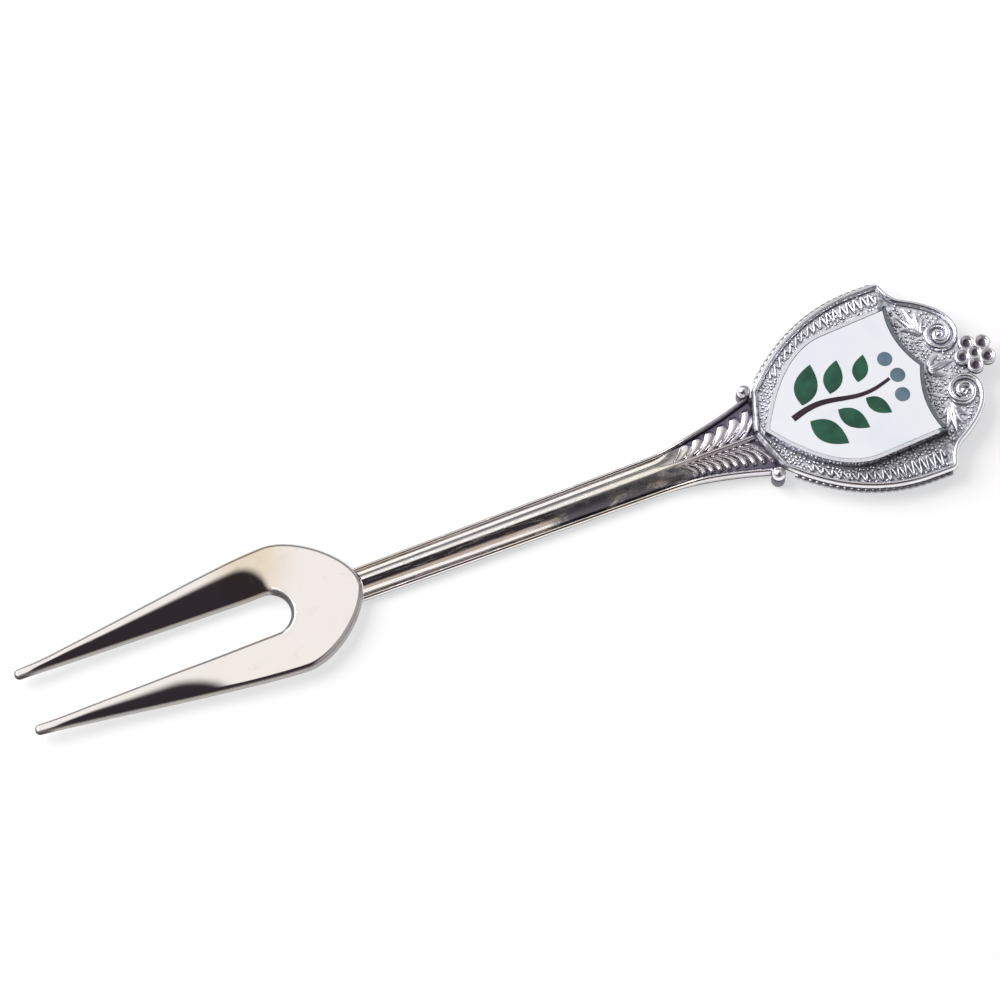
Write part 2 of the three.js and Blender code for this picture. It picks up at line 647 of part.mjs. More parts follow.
// Five cupped petals round a cupped eye, one petal towards the badge.
function flowerGeometry() {
  const puck = (x, y, radius) => {
    const profile = [
      [0, 0],
      [radius - PETAL_BEVEL / 2, 0],
      [radius, PETAL_BEVEL],
      [radius, PETAL_HEIGHT - PETAL_BEVEL],
      [radius - PETAL_BEVEL, PETAL_HEIGHT],
      [0, PETAL_HEIGHT],
    ].map(([r, z]) => new THREE.Vector2(r, z));
    const body = new THREE.LatheGeometry(profile, 14);
    body.rotateX(Math.PI / 2);
    return body.translate(x, y, PLATE_TOP);
  };
  const cup = (x, y, radius) => {
    const ball = new THREE.SphereGeometry(1, 12, 8);
    ball.rotateX(Math.PI / 2);
    ball.scale(radius, radius, CUP_DEPTH);
    return ball.translate(x, y, PLATE_TOP + PETAL_HEIGHT);
  };
  const places = Array.from({ length: PETAL_COUNT }, (_, i) => {
    const turn = PETAL_STEP * (i + 0.5);
    return [FLOWER_STATION + PETAL_RING * Math.cos(turn), PETAL_RING * Math.sin(turn)];
  });
  const petals = places.map(([x, y]) => puck(x, y, PETAL_RADIUS));
  const cups = places.map(([x, y]) => cup(x, y, PETAL_CUP));
  const flower = joined([...petals, puck(FLOWER_STATION, 0, PETAL_RADIUS)]);
  return toGeometry(flower.subtract(joined([...cups, cup(FLOWER_STATION, 0, EYE_CUP)])));
}

// A ball of silver soldered onto its pad where the flare's border meets the head.
function shoulderBeadGeometry(side) {
  const profile = [new THREE.Vector2(0, 0)];
  const centre = BEAD_RADIUS - BEAD_SINK;
  const low = Math.asin(-centre / BEAD_RADIUS);
  const steps = 7;
  for (let i = 0; i <= steps; i += 1) {
    const turn = lerp(low, Math.PI / 2, i / steps);
    const r = i < steps ? BEAD_RADIUS * Math.cos(turn) : 0;
    profile.push(new THREE.Vector2(r, i > 0 ? centre + BEAD_RADIUS * Math.sin(turn) : 0));
  }
  const ball = new THREE.LatheGeometry(profile, 12);
  ball.rotateX(Math.PI / 2);
  return ball.translate(BEAD_STATION, side * BEAD_OFFSET, PANEL_BORDER);
}

// Badge

// Shield with straight sides, a pointed foot and a top of two arcs meeting in a cusp.
function badgeOutline() {
  const half = BADGE_WIDTH / 2;
  const pull = half / Math.tan(radians(BADGE_TIP_ANGLE));
  const path = new THREE.Path();
  path.moveTo(0, 0);
  path.quadraticCurveTo(pull, half, BADGE_SIDE_START, half);
  path.lineTo(BADGE_LENGTH, half);
  const dip = BADGE_LENGTH + BADGE_CUSP / 2 - 2 * BADGE_SCOOP;
  path.quadraticCurveTo(dip, half / 2, BADGE_LENGTH + BADGE_CUSP, 0);
  return wholeOutline(path.getPoints(9));
}

// An outline in the badge's frame, brought into the head's frame.
function turnedBadge(points) {
  const middle = new THREE.Vector2(BADGE_LENGTH / 2, 0);
  return points.map((point) => {
    const turned = point.clone().rotateAround(middle, radians(BADGE_TURN));
    return turned.setX(turned.x + BADGE_STATION);
  });
}

function trayGeometry() {
  const outside = plate(badgeOutline(), TRAY_BASE, ENAMEL_TOP, TRAY_BEVEL);
  const hollow = plate(offset(badgeOutline(), -TRAY_WALL), ENAMEL_BASE, ENAMEL_TOP + TRAY_HEIGHT);
  return toGeometry(toSolid(outside).subtract(toSolid(hollow)));
}

function twigOutline() {
  const steps = 8;
  const middle = Array.from({ length: steps + 1 }, (_, i) => {
    const along = i / steps;
    const sway = TWIG_SWAY * Math.sin(2 * Math.PI * along);
    return new THREE.Vector2(lerp(TWIG_START, TWIG_END, along), sway);
  });
  const normals = normalsAlong(middle, false);
  const edge = (side) => middle.map((point, i) => {
    const taper = lerp(TWIG_WIDTH, TWIG_WIDTH / 2, i / steps);
    return point.clone().addScaledVector(normals[i], (side * taper) / 2);
  });
  return [...edge(1), ...edge(-1).reverse()];
}

// A pointed leaf leaving the twig to one side.
function leafOutline(pair, side) {
  const length = LEAF_LENGTH * LEAF_SHRINK ** pair;
  const width = LEAF_WIDTH * LEAF_SHRINK ** pair;
  const path = new THREE.Path();
  path.moveTo(0, 0);
  path.quadraticCurveTo(length * LEAF_BELLY, -width, length, 0);
  path.quadraticCurveTo(length * LEAF_BELLY, width, 0, 0);
  const station = LEAF_STATION + pair * LEAF_SPACING;
  const turn = side * radians(LEAF_ANGLE);
  const origin = new THREE.Vector2();
  return path.getPoints(6).slice(0, -1).map((point) => {
    const turned = point.clone().rotateAround(origin, turn);
    return turned.add(new THREE.Vector2(station, side * LEAF_STALK));
  });
}

function berryOutline(index) {
  const across = index - 1;
  const x = BERRY_STATION - BERRY_DROP * Math.abs(across);
  const ring = new THREE.EllipseCurve(x, across * BERRY_SPREAD, BERRY_RADIUS, BERRY_RADIUS);
  return ring.getPoints(16).slice(0, -1);
}

// The coloured cells of the sprig: a name, an outline and a colour for each.
function sprigCells(colours) {
  const cells = [{ name: "brown_twig", outline: twigOutline(), colour: colours.brown }];
  for (let pair = 0; pair < LEAF_PAIRS; pair += 1) {
    for (const [side, word] of [[1, "left"], [-1, "right"]]) {
      const name = `green_leaf_${word}_${pair + 1}`;
      cells.push({ name, outline: leafOutline(pair, side), colour: colours.green });
    }
  }
  for (const [index, word] of ["right", "middle", "left"].entries()) {
    cells.push({ name: `slate_berry_${word}`, outline: berryOutline(index), colour: colours.slate });
  }
  return cells;
}

// Assembly

const finish = (color, roughness, metalness) => {
  return new THREE.MeshStandardMaterial({ color, roughness, metalness });
};
const polishedSilver = finish(0xd9d6d2, 0.12, 1);
const oxidisedSilver = finish(0xa9a5a6, 0.35, 1);
const badgeMetal = finish(0xc9c9cc, 0.25, 1);
const whiteEnamel = finish(0xf0f3fa, 0.15, 0);
const cement = finish(0xb9ad92, 0.8, 0);
const enamelColours = {
  green: finish(0x215a46, 0.15, 0),
  brown: finish(0x2d1e28, 0.15, 0),
  slate: finish(0x647d8c, 0.15, 0),
};

function named(name, geometry, material) {
  const mesh = new THREE.Mesh(geometry, material);
  mesh.name = name;
  return mesh;
}

const fork = new THREE.Group();
fork.position.x = -TOTAL_LENGTH / 2;
fork.add(named("tine_blade", bladeGeometry(), polishedSilver));
fork.add(named("stem", stemGeometry(), polishedSilver));

const head = new THREE.Group();
head.position.x = TOE_STATION;
fork.add(head);
head.add(named("back_plate", backPlateGeometry(), oxidisedSilver));
for (const [side, word] of [[1, "left"], [-1, "right"]]) {
  head.add(named(`border_wire_${word}`, borderWireGeometry(side), oxidisedSilver));
  head.add(named(`beaded_wire_${word}`, beadedWireGeometry(side), oxidisedSilver));
  head.add(named(`filigree_wire_${word}`, filigreeGeometry(side), oxidisedSilver));
  head.add(named(`shoulder_bead_${word}`, shoulderBeadGeometry(side), oxidisedSilver));
}
head.add(named("flower_finial", flowerGeometry(), oxidisedSilver));

const cells = sprigCells(enamelColours);
const bed = turnedBadge(offset(badgeOutline(), -CEMENT_INSET));
head.add(named("badge_cement", plate(bed, PLATE_TOP, TRAY_BASE), cement));

const badge = new THREE.Group();
badge.position.x = BADGE_STATION + BADGE_LENGTH / 2;
badge.rotation.z = radians(BADGE_TURN);
head.add(badge);
const centred = (geometry) => geometry.translate(-BADGE_LENGTH / 2, 0, 0);
badge.add(named("badge_tray", centred(trayGeometry()), badgeMetal));
const holes = cells.map((cell) => offset(cell.outline, ENAMEL_GAP).reverse());
const field = offset(badgeOutline(), -TRAY_WALL - ENAMEL_GAP);
const ground = plate(field, ENAMEL_BASE, ENAMEL_TOP, 0, holes);
badge.add(named("white_enamel", centred(ground), whiteEnamel));
for (const cell of cells) {
  const fill = plate(cell.outline, ENAMEL_BASE, ENAMEL_TOP);
  badge.add(named(cell.name, centred(fill), cell.colour));
}

export default fork;
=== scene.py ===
import math

import bpy
import numpy as np
from mathutils import Matrix, Vector


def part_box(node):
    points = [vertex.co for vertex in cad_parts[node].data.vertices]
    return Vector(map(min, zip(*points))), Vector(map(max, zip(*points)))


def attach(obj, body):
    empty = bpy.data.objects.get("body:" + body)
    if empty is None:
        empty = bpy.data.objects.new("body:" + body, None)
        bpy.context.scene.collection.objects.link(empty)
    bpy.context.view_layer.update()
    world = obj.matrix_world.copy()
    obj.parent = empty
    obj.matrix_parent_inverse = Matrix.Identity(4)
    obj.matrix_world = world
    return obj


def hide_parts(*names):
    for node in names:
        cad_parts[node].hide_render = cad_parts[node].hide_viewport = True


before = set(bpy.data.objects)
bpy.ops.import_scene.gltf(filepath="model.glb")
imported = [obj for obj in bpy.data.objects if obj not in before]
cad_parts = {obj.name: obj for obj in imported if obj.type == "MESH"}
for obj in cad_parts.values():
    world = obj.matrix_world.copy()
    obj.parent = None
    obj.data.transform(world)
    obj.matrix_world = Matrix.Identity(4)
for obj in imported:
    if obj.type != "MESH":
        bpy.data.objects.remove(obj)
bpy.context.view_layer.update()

# Tine blade.
# The blade is cut from sheet metal and struck, so its two tines are crowned over the top and
# rise to blunt points. It is silver plated and polished, and brazed onto the stem.
MM = 0.001
BLADE_LENGTH = 39.2
BLADE_WIDTH = 15.2
BLADE_THICKNESS = 1.3
SHOULDER_SETBACK = 8.8
SHOULDER_ROUNDNESS = 0.42
SLOT_LENGTH = 30.9
SLOT_WIDTH = 4.8
TIP_SPREAD = 6.8
TIP_WIDTH = 1.1
TIP_THICKNESS = 0.8
TIP_RISE = 0.4
FLANK_HANDLES = (0.34, 0.8)
FLANK_SWELL = (0.27, 0.95)
EDGE_ROUNDNESS = 0.42
HEEL_SHARE = 0.36
HEEL_CROWDING = 1.5
LAP_HEIGHT = 1.1
CROWN_START = (0.5, 4.5)
LEAN_START = (1, 7)
LEFT_TINE = {"arch": 0.28, "crown": (0.0, 0.14), "lean": (0.0, 0.15), "twist": 0.175}
RIGHT_TINE = {"arch": 0.12, "crown": (0.2, 0.42), "lean": (0.25, 0.5), "twist": 0.11}
TIP_STEPS, FLANK_STEPS, SLOT_STEPS, HEEL_STEPS, BLADE_ACROSS = 9, 73, 25, 31, 41
EDGE_WEAR_AND_SHADE_REACH = 0.45
TIP_WEAR_AND_SHADE = (2.5, 0.5)
SLOT_WEAR_AND_SHADE = (0.7, 0.15)
SLOT_WEAR_AND_SHADE_DEPTH = 2
SLOT_END_AHEAD = (SLOT_LENGTH - 2.2, SLOT_LENGTH - 0.8)
SLOT_END_BEHIND = (SLOT_LENGTH + 1.2, SLOT_LENGTH + 0.6)
TOUCHING = 1e-7
SMOOTH_ANGLE = math.radians(50)
TIP_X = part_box("tine_blade")[0].x / MM


def mix(low, high, share):
    return low + (high - low) * share


def ease(value, low, high):
    """A soft step from 0 at the first limit to 1 at the second, whichever is larger."""
    share = np.clip((value - low) / (high - low), 0, 1)
    return share * share * (3 - 2 * share)


def arc(turn):
    return np.stack([np.cos(turn), np.sin(turn)], 1)


def bezier(points, shares):
    layers = [np.outer(np.ones(len(shares)), point) for point in points]
    shares = np.asarray(shares)[:, None]
    while len(layers) > 1:
        layers = [mix(a, b, shares) for a, b in zip(layers, layers[1:])]
    return layers[0]


def distance_to_line(places, line):
    nearest = np.full(len(places), np.inf)
    for start, end in zip(line, line[1:]):
        run = end - start
        share = np.clip((places - start) @ run / max(run @ run, 1e-12), 0, 1)
        gap = np.linalg.norm(places - start - share[:, None] * run, axis=1)
        nearest = np.minimum(nearest, gap)
    return nearest


def hold_only(piece):
    bpy.ops.object.select_all(action="DESELECT")
    bpy.context.view_layer.objects.active = piece
    piece.select_set(True)


def edit_mesh(select="SELECT"):
    bpy.ops.object.mode_set(mode="EDIT")
    bpy.ops.mesh.select_all(action=select)


def leave_mesh():
    bpy.ops.object.mode_set(mode="OBJECT")


def add_primitive(name, operator, **values):
    bpy.ops.object.select_all(action="DESELECT")
    operator(**values)
    bpy.context.object.name = name
    return bpy.context.object


def set_points(piece, places):
    """Moves the points of a mesh to places given in millimetres from the tine tips."""
    places = (np.asarray(places, float) + (TIP_X, 0, 0)) * MM
    piece.data.vertices.foreach_set("co", places.astype(np.float32).ravel())
    piece.data.update()


def lay_grid(name, rows):
    """A grid whose rows are laid through the given places."""
    rows = np.asarray(rows, float)
    count, across = rows.shape[:2]
    piece = add_primitive(
        name, bpy.ops.mesh.primitive_grid_add, x_subdivisions=across - 1, y_subdivisions=count - 1
    )
    set_points(piece, rows.reshape(-1, 3))
    return piece


def close_up(piece, fill=False):
    """Merges seams, closes open ends and turns the faces outwards."""
    hold_only(piece)
    edit_mesh()
    bpy.ops.mesh.remove_doubles(threshold=TOUCHING)
    bpy.ops.mesh.dissolve_degenerate(threshold=TOUCHING / 10)
    if fill:
        bpy.ops.mesh.select_all(action="SELECT")
        bpy.ops.mesh.fill_holes(sides=0)
    bpy.ops.mesh.select_all(action="SELECT")
    bpy.ops.mesh.normals_make_consistent(inside=False)
    leave_mesh()
    bpy.ops.object.shade_smooth_by_angle(angle=SMOOTH_ANGLE)
    return piece


def join_pieces(pieces, name):
    hold_only(pieces[0])
    for piece in pieces[1:]:
        piece.select_set(True)
    bpy.ops.object.join()
    pieces[0].name = name
    return pieces[0]


def store_values(piece, name, values):
    """Keeps one number for each point of a piece, for its material to read."""
    attribute = piece.data.attributes.new(name, "FLOAT", "POINT")
    attribute.data.foreach_set("value", np.asarray(values, np.float32).ravel())


def finish_piece(piece, material, slot, *nodes):
    piece.data.materials.clear()
    piece.data.materials.append(material)
    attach(piece, "root")
    if nodes:
        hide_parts(*nodes)


def blade_edges():
    """Matching places along the inner and the outer edge of one tine, from tip to heel."""
    radius, tip = TIP_WIDTH / 2, TIP_SPREAD / 2
    slot, half = SLOT_WIDTH / 2, BLADE_WIDTH / 2
    widest = BLADE_LENGTH - SHOULDER_SETBACK
    heel = [(widest, half), (widest + SHOULDER_SETBACK * SHOULDER_ROUNDNESS, half)]
    heel += [(BLADE_LENGTH, half * SHOULDER_ROUNDNESS), (BLADE_LENGTH, 0)]
    flank = [(radius, tip + radius)]
    for share, swell in zip(FLANK_HANDLES, FLANK_SWELL):
        flank.append((widest * share, mix(tip + radius, half, swell)))
    flank.append((widest, half))
    start = SLOT_LENGTH - slot
    turn = np.linspace(math.pi, math.pi / 2, TIP_STEPS)[:-1]
    inner = [(radius, tip) + arc(turn) * (radius, -radius)]
    outer = [(radius, tip) + arc(turn) * radius]
    along = np.linspace(0, 1, FLANK_STEPS)[:-1]
    inner.append(bezier([(radius, tip - radius), (start, slot)], along))
    outer.append(bezier(flank, along))
    along = np.linspace(0, 1, SLOT_STEPS)[:-1]
    inner.append((start, 0) + arc((1 - along) * math.pi / 2) * slot)
    outer.append(bezier(heel, along * HEEL_SHARE))
    along = np.linspace(0, 1, HEEL_STEPS)
    inner.append(bezier([(SLOT_LENGTH, 0), (BLADE_LENGTH, 0)], along ** HEEL_CROWDING))
    outer.append(bezier(heel, mix(HEEL_SHARE, 1, along)))
    return np.concatenate(inner), np.concatenate(outer)


def blade_rows(hand, tine):
    """Closed sections of one half of the blade, each tine struck and bent a little its own way."""
    inner, outer = blade_edges()
    line = np.concatenate([[(SLOT_LENGTH, 0)], inner[:-HEEL_STEPS][::-1], outer])
    share = (1 - np.cos(np.linspace(0, math.pi, BLADE_ACROSS))) / 2
    plan = inner[:, None] + (outer - inner)[:, None] * share[None, :, None]
    gap = distance_to_line(plan.reshape(-1, 2), line).reshape(plan.shape[:2])
    x, y = plan[..., 0], plan[..., 1]
    forward = np.clip(1 - x / SLOT_LENGTH, 0, 1)
    thickness = mix(BLADE_THICKNESS, TIP_THICKNESS, forward)
    radius = EDGE_ROUNDNESS * thickness
    inside = np.maximum(0, radius - gap)
    fall = radius - np.sqrt(radius ** 2 - inside ** 2)
    side = 2 * share[None, :] - 1
    crown = tine["arch"] * side ** 2 * ease(forward, *tine["crown"]) * ease(x, *CROWN_START)
    tilt = tine["twist"] * ease(forward, *tine["lean"]) * ease(x, *LEAN_START)
    lean = hand * tilt * (y - (inner[:, 1:] + outer[:, 1:]) / 2)
    base = LAP_HEIGHT + TIP_RISE * forward ** 2
    top = np.stack([x, hand * y, base + thickness - fall - crown + lean], 2)
    bottom = np.stack([x, hand * y, base + fall / 2 + lean], 2)
    # Near the edges the plate is rubbed rougher and painted dark grey as painted shade: twice as
    # much at the tips, and deeply at the end of the slot.
    rubbed_and_shaded = ease(gap, EDGE_WEAR_AND_SHADE_REACH, 0) * (1 + ease(x, *TIP_WEAR_AND_SHADE))
    slot_end = ease(x, *SLOT_END_AHEAD) * ease(x, *SLOT_END_BEHIND) * (share[None, :] < 0.5)
    rubbed_and_shaded = np.maximum(rubbed_and_shaded, SLOT_WEAR_AND_SHADE_DEPTH * slot_end * ease(gap, *SLOT_WEAR_AND_SHADE))
    rows = np.concatenate([top, bottom[:, ::-1], top[:, :1]], 1)
    return rows, np.concatenate([rubbed_and_shaded, rubbed_and_shaded[:, ::-1], rubbed_and_shaded[:, :1]], 1)


halves = []
for hand, tine in ((1, LEFT_TINE), (-1, RIGHT_TINE)):
    rows, rubbed_and_shaded = blade_rows(hand, tine)
    half = lay_grid("blade_half", rows)
    store_values(half, "rubbed_and_shaded", rubbed_and_shaded)
    edit_mesh("DESELECT")
    leave_mesh()
    for face in half.data.polygons:
        corners = [half.data.vertices[i].co for i in face.vertices]
        face.select = all(abs(corner.y) < TOUCHING for corner in corners)
    bpy.ops.object.mode_set(mode="EDIT")
    bpy.ops.mesh.delete(type="FACE")
    leave_mesh()
    halves.append(half)
blade = close_up(join_pieces(halves, "tine_blade_polished"))

COLOUR, NUMBER = "NodeSocketColor", "NodeSocketFloat"
FILM_TINTS = ("Pale", "Warm", "Dull")
HAIRLINES = ((0.35, (250, 16000, 250)), (-0.5, (350, 22000, 350)))
HAIRLINE_NOISE = (1.0, 2.0, 0.6)
HAIRLINE_RANGE = (0.64, 0.76)
DRIFT_NOISE = (75.0, 2.0)
DRIFT_RANGE = (0.42, 0.62)
HAZE_NOISE = (420.0, 4.0, 0.65)
HAZE_RANGE = (0.55, 0.8)
HAZE_SHARE = 0.35
CREAM_PATCH = (28.3, 6.2, 2.4)
CREAM_REACH = (6.5, 0.975)
CREAM_NOISE = (260.0, 4.0, 0.6)
CREAM_CLOUD = (0.3, 0.7, 0.55, 1.0)
BLADE_GLOSS = (0.07, 0.2)
BLADE_BUMP = (0.03, 0.00001)
SCRATCH_DULLING = 0.03
RUB_DULLING = 0.42
EDGE_SHADE_SHARE = 0.62
plate_pale = (0.93, 0.89, 0.88)
plate_dull = (0.7, 0.66, 0.66)
blade_tints = (plate_pale, (0.93, 0.89, 0.86), plate_dull)
cream_film = (0.8, 0.68, 0.5)
# The dark grey of the painted shade along the edges of the blade.
painted_edge_shade = (0.22, 0.215, 0.215)


def feed(tree, node, values):
    """Sets the named inputs of a node to numbers or colours, or links other outputs to them."""
    for name, value in values.items():
        socket = node.inputs[name]
        if isinstance(value, tuple):
            socket.default_value = (*value, 1)[:len(socket.default_value)]
        elif isinstance(value, (int, float)):
            socket.default_value = value
        else:
            tree.links.new(value, socket)


def add_node(tree, kind, values=(), **settings):
    node = tree.nodes.new(kind)
    for name, setting in settings.items():
        setattr(node, name, setting)
    feed(tree, node, dict(values))
    return node


def new_group(name, inputs, outputs):
    group = bpy.data.node_groups.new(name, "ShaderNodeTree")
    for way, sockets in (("INPUT", inputs), ("OUTPUT", outputs)):
        for socket, kind in sockets.items():
            group.interface.new_socket(socket, in_out=way, socket_type=kind)
    return group, group.nodes.new("NodeGroupInput"), group.nodes.new("NodeGroupOutput")


def add_math(tree, operation, first, *others):
    """Takes up the values one after another, with an arithmetic node for each."""
    for other in others or (0.0,):
        values = {0: first, 1: other}
        first = add_node(tree, "ShaderNodeMath", values, operation=operation).outputs[0]
    return first


def add_range(tree, value, low, high, start=0.0, end=1.0):
    """A soft step: the value's way from one limit to the other, as a way from start to end."""
    values = enumerate((value, low, high, start, end))
    node = add_node(tree, "ShaderNodeMapRange", values, interpolation_type="SMOOTHSTEP")
    return node.outputs["Result"]


def add_zone(tree, value, low, high, start=0.0, end=1.0):
    """A soft step between two places in millimetres."""
    return add_range(tree, value, low * MM, high * MM, start, end)


def add_mix(tree, share, first, second, blend="MIX"):
    values = {0: share, 6: first, 7: second}
    return add_node(tree, "ShaderNodeMix", values, data_type="RGBA", blend_type=blend).outputs[2]


def add_noise(tree, vector, scale, detail, roughness=0.5):
    values = {"Vector": vector, "Scale": scale, "Detail": detail, "Roughness": roughness}
    return add_node(tree, "ShaderNodeTexNoise", values).outputs["Fac"]


def object_place(tree, scale=(1, 1, 1), turn=0.0):
    """Object coordinates, stretched and turned about the upright axis."""
    place = add_node(tree, "ShaderNodeTexCoord").outputs["Object"]
    values = {"Vector": place, "Scale": scale, "Rotation": (0, 0, turn)}
    return add_node(tree, "ShaderNodeMapping", values).outputs["Vector"]


def read_attribute(tree, name):
    return add_node(tree, "ShaderNodeAttribute", attribute_name=name).outputs["Fac"]


# Rubbing by cloth and drawer leaves hair-fine scratches, in two directions, on all the plate.
hairlines, _, ends = new_group("hairline_scratches", {}, {"Height": NUMBER, "Mask": NUMBER})
lines = []
for turn, scale in HAIRLINES:
    streak = add_noise(hairlines, object_place(hairlines, scale, turn), *HAIRLINE_NOISE)
    lines.append(add_range(hairlines, streak, *HAIRLINE_RANGE))
both = add_math(hairlines, "MAXIMUM", *lines)
feed(hairlines, ends, {"Mask": both, "Height": add_math(hairlines, "MULTIPLY", both, -1.0)})

# Old plate is not one colour: it drifts from pinkish white to cream, with dull film in places.
film, film_in, ends = new_group(
    "tarnish_film", dict.fromkeys(FILM_TINTS, COLOUR), {"Color": COLOUR, "Dullness": NUMBER}
)
pale, warm, dull = (film_in.outputs[name] for name in FILM_TINTS)
spot = object_place(film)
drift = add_range(film, add_noise(film, spot, *DRIFT_NOISE), *DRIFT_RANGE)
haze = add_range(film, add_noise(film, spot, *HAZE_NOISE), *HAZE_RANGE)
haze_share = add_math(film, "MULTIPLY", haze, HAZE_SHARE)
tint = add_mix(film, haze_share, add_mix(film, drift, pale, warm), dull)
feed(film, ends, {"Color": tint, "Dullness": haze})


def start_material(name):
    material = bpy.data.materials.new(name)
    material.use_nodes = True
    return material, material.node_tree, material.node_tree.nodes["Principled BSDF"]


def start_plate(name, tints, gloss):
    """Silver plate with its drifting tint and gloss and its hairlines, for a finish to build on."""
    material, tree, shader = start_material(name)
    shader.inputs["Metallic"].default_value = 1.0
    tint = add_node(tree, "ShaderNodeGroup", node_tree=film)
    feed(tree, tint, dict(zip(FILM_TINTS, tints)))
    scratch = add_node(tree, "ShaderNodeGroup", node_tree=hairlines).outputs
    roughness = add_range(tree, tint.outputs["Dullness"], 0.0, 1.0, *gloss)
    return material, tree, shader, tint.outputs["Color"], roughness, scratch


def set_finish(tree, shader, colour, roughness, height, bump):
    """Colour, roughness and fine relief of a surface; bump is the relief's strength and depth."""
    values = {"Strength": bump[0], "Distance": bump[1], "Height": height}
    normal = add_node(tree, "ShaderNodeBump", values).outputs["Normal"]
    feed(tree, shader, {"Base Color": colour, "Roughness": roughness, "Normal": normal})


blade_silver, tree, shader, tint, gloss, scratch = start_plate(
    "blade_silver", blade_tints, BLADE_GLOSS
)
# A cloudy patch of cream film lies on the left shoulder. The edges are rubbed dull and are
# painted dark grey as painted shade, most at the tips and at the end of the slot.
x, y, z = CREAM_PATCH
place = object_place(tree)
values = {0: place, 1: ((TIP_X + x) * MM, y * MM, z * MM)}
distance = add_node(tree, "ShaderNodeVectorMath", values, operation="DISTANCE")
patch = add_zone(tree, distance.outputs["Value"], *CREAM_REACH)
cloud = add_range(tree, add_noise(tree, place, *CREAM_NOISE), *CREAM_CLOUD)
filmed = add_mix(tree, add_math(tree, "MULTIPLY", patch, cloud), tint, cream_film)
rubbed_and_shaded = read_attribute(tree, "rubbed_and_shaded")
edged = add_mix(tree, add_math(tree, "MULTIPLY", rubbed_and_shaded, EDGE_SHADE_SHARE), filmed, painted_edge_shade)
scratched = add_math(tree, "MULTIPLY", scratch["Mask"], SCRATCH_DULLING)
worn = add_math(tree, "ADD", scratched, add_math(tree, "MULTIPLY", rubbed_and_shaded, RUB_DULLING))
dulled = add_math(tree, "ADD", gloss, worn)
set_finish(tree, shader, edged, dulled, scratch["Height"], BLADE_BUMP)
finish_piece(blade, blade_silver, "polished_silver", "tine_blade")

# Stem.
# A half-round stem with a thin threaded border along each edge, struck and silver plated. Its
# flared end carries a leaf in relief; a tongue and a tab lie under the blade and the head.
STEM_LENGTH = 46.8
NECK_WIDTH = 3.9
CROWN_WIDTH = 4.6
FLARE_LENGTH = 12.0
FLARE_WIDTH = 9.6
FLARE_OVERRUN = 0.9
FLARE_SWELL = 1.7
TONGUE_LENGTH = 7.0
TONGUE_WIDTH = 3.0
TAB_HEIGHT = 1.1
TAB_LENGTH = 9.0
TAB_WIDTH = 4.6
BORDER_WIDTH = 0.5
BORDER_HEIGHT = 1.2
BORDER_GROOVE = 0.2
GROOVE_CUT = 0.14
GROOVE_SPREAD = 0.09
GROOVE_START = 0.8
PANEL_HEIGHT = 1.5
PANEL_BORDER = 1.95
RIB_HEIGHT = 2.1
RIB_WIDTH = 0.7
FOOT_CHAMFER = 0.6
FOOT_LIP = 0.02
CROWN_FULLNESS = 2.2
END_FLAT = 0.2
BRAZE_GAP = 0.1
TOE_DEPTH = 1.6
TOE_WIDTH = 9.8
TOE_OVERRUN = 0.15
TOE_LEAD = 0.6
HEEL_LEAD = 0.4
STEP_LEAD = 0.5
BEAD_RADIUS = 0.78
BEAD_STATION = 0.8
BEAD_OVERHANG = 0.45
PAD_FOOT = (0.15, 0.3)
PAD_LIP = (0.04, 0.06)
STEM_ACROSS = 121
TONGUE_END_STEPS, TONGUE_STEPS, PLAIN_STEPS = 8, 6, 48
LEAF_STEPS, TOE_STEPS, TAB_STEPS = 150, 13, 22
TOE_STATION = BLADE_LENGTH + STEM_LENGTH
FLARE_STATION = TOE_STATION - FLARE_LENGTH
FLARE_END = TOE_STATION + FLARE_OVERRUN
TAB_END = TOE_STATION + TAB_LENGTH
TONGUE_TIP = BLADE_LENGTH - TONGUE_LENGTH
CROWN_HEIGHT = LAP_HEIGHT + BLADE_THICKNESS
BEAD_OFFSET = FLARE_WIDTH / 2 + BEAD_OVERHANG
# Each side of the leaf: which side, how many lobes, their width and their share of the height.
LOBES = ((1, 7, 1.08, 1.0), (-1, 11, 0.62, 0.8))
LOBE_HEIGHT = 0.42
LOBE_LEAD = 2.6
LOBE_SETBACK = 1.6
LOBE_AHEAD = 1.2
LOBE_MARGIN = BORDER_WIDTH * 1.1
LOBE_ROOT = RIB_WIDTH * 0.3
LOBE_LEAST = 0.4
LOBE_SWEEP, LOBE_BEND, LOBE_BOW = 0.95, 0.8, 0.25
LOBE_SLIM, LOBE_FULL = 0.279, 0.465
LOBE_BELLY = (0.05, 0.95)
LOBE_START = (-0.02, 0.12)
LOBE_END = (1.02, 0.86)
PAD_SHADOW = 0.8
STEM_BLACK = 0.5
FOOT_SHADE = 0.85
GROOVE_BLACK = 0.85
FAR_BORDER_SHADE = 0.58
RECESS_DEPTH = 0.26
BLACKENING = (FLARE_STATION - 4, FLARE_STATION + 2)


def round_end(reach, radius):
    return np.sqrt(np.clip(1 - (1 - np.minimum(reach, radius) / radius) ** 2, 0, 1))


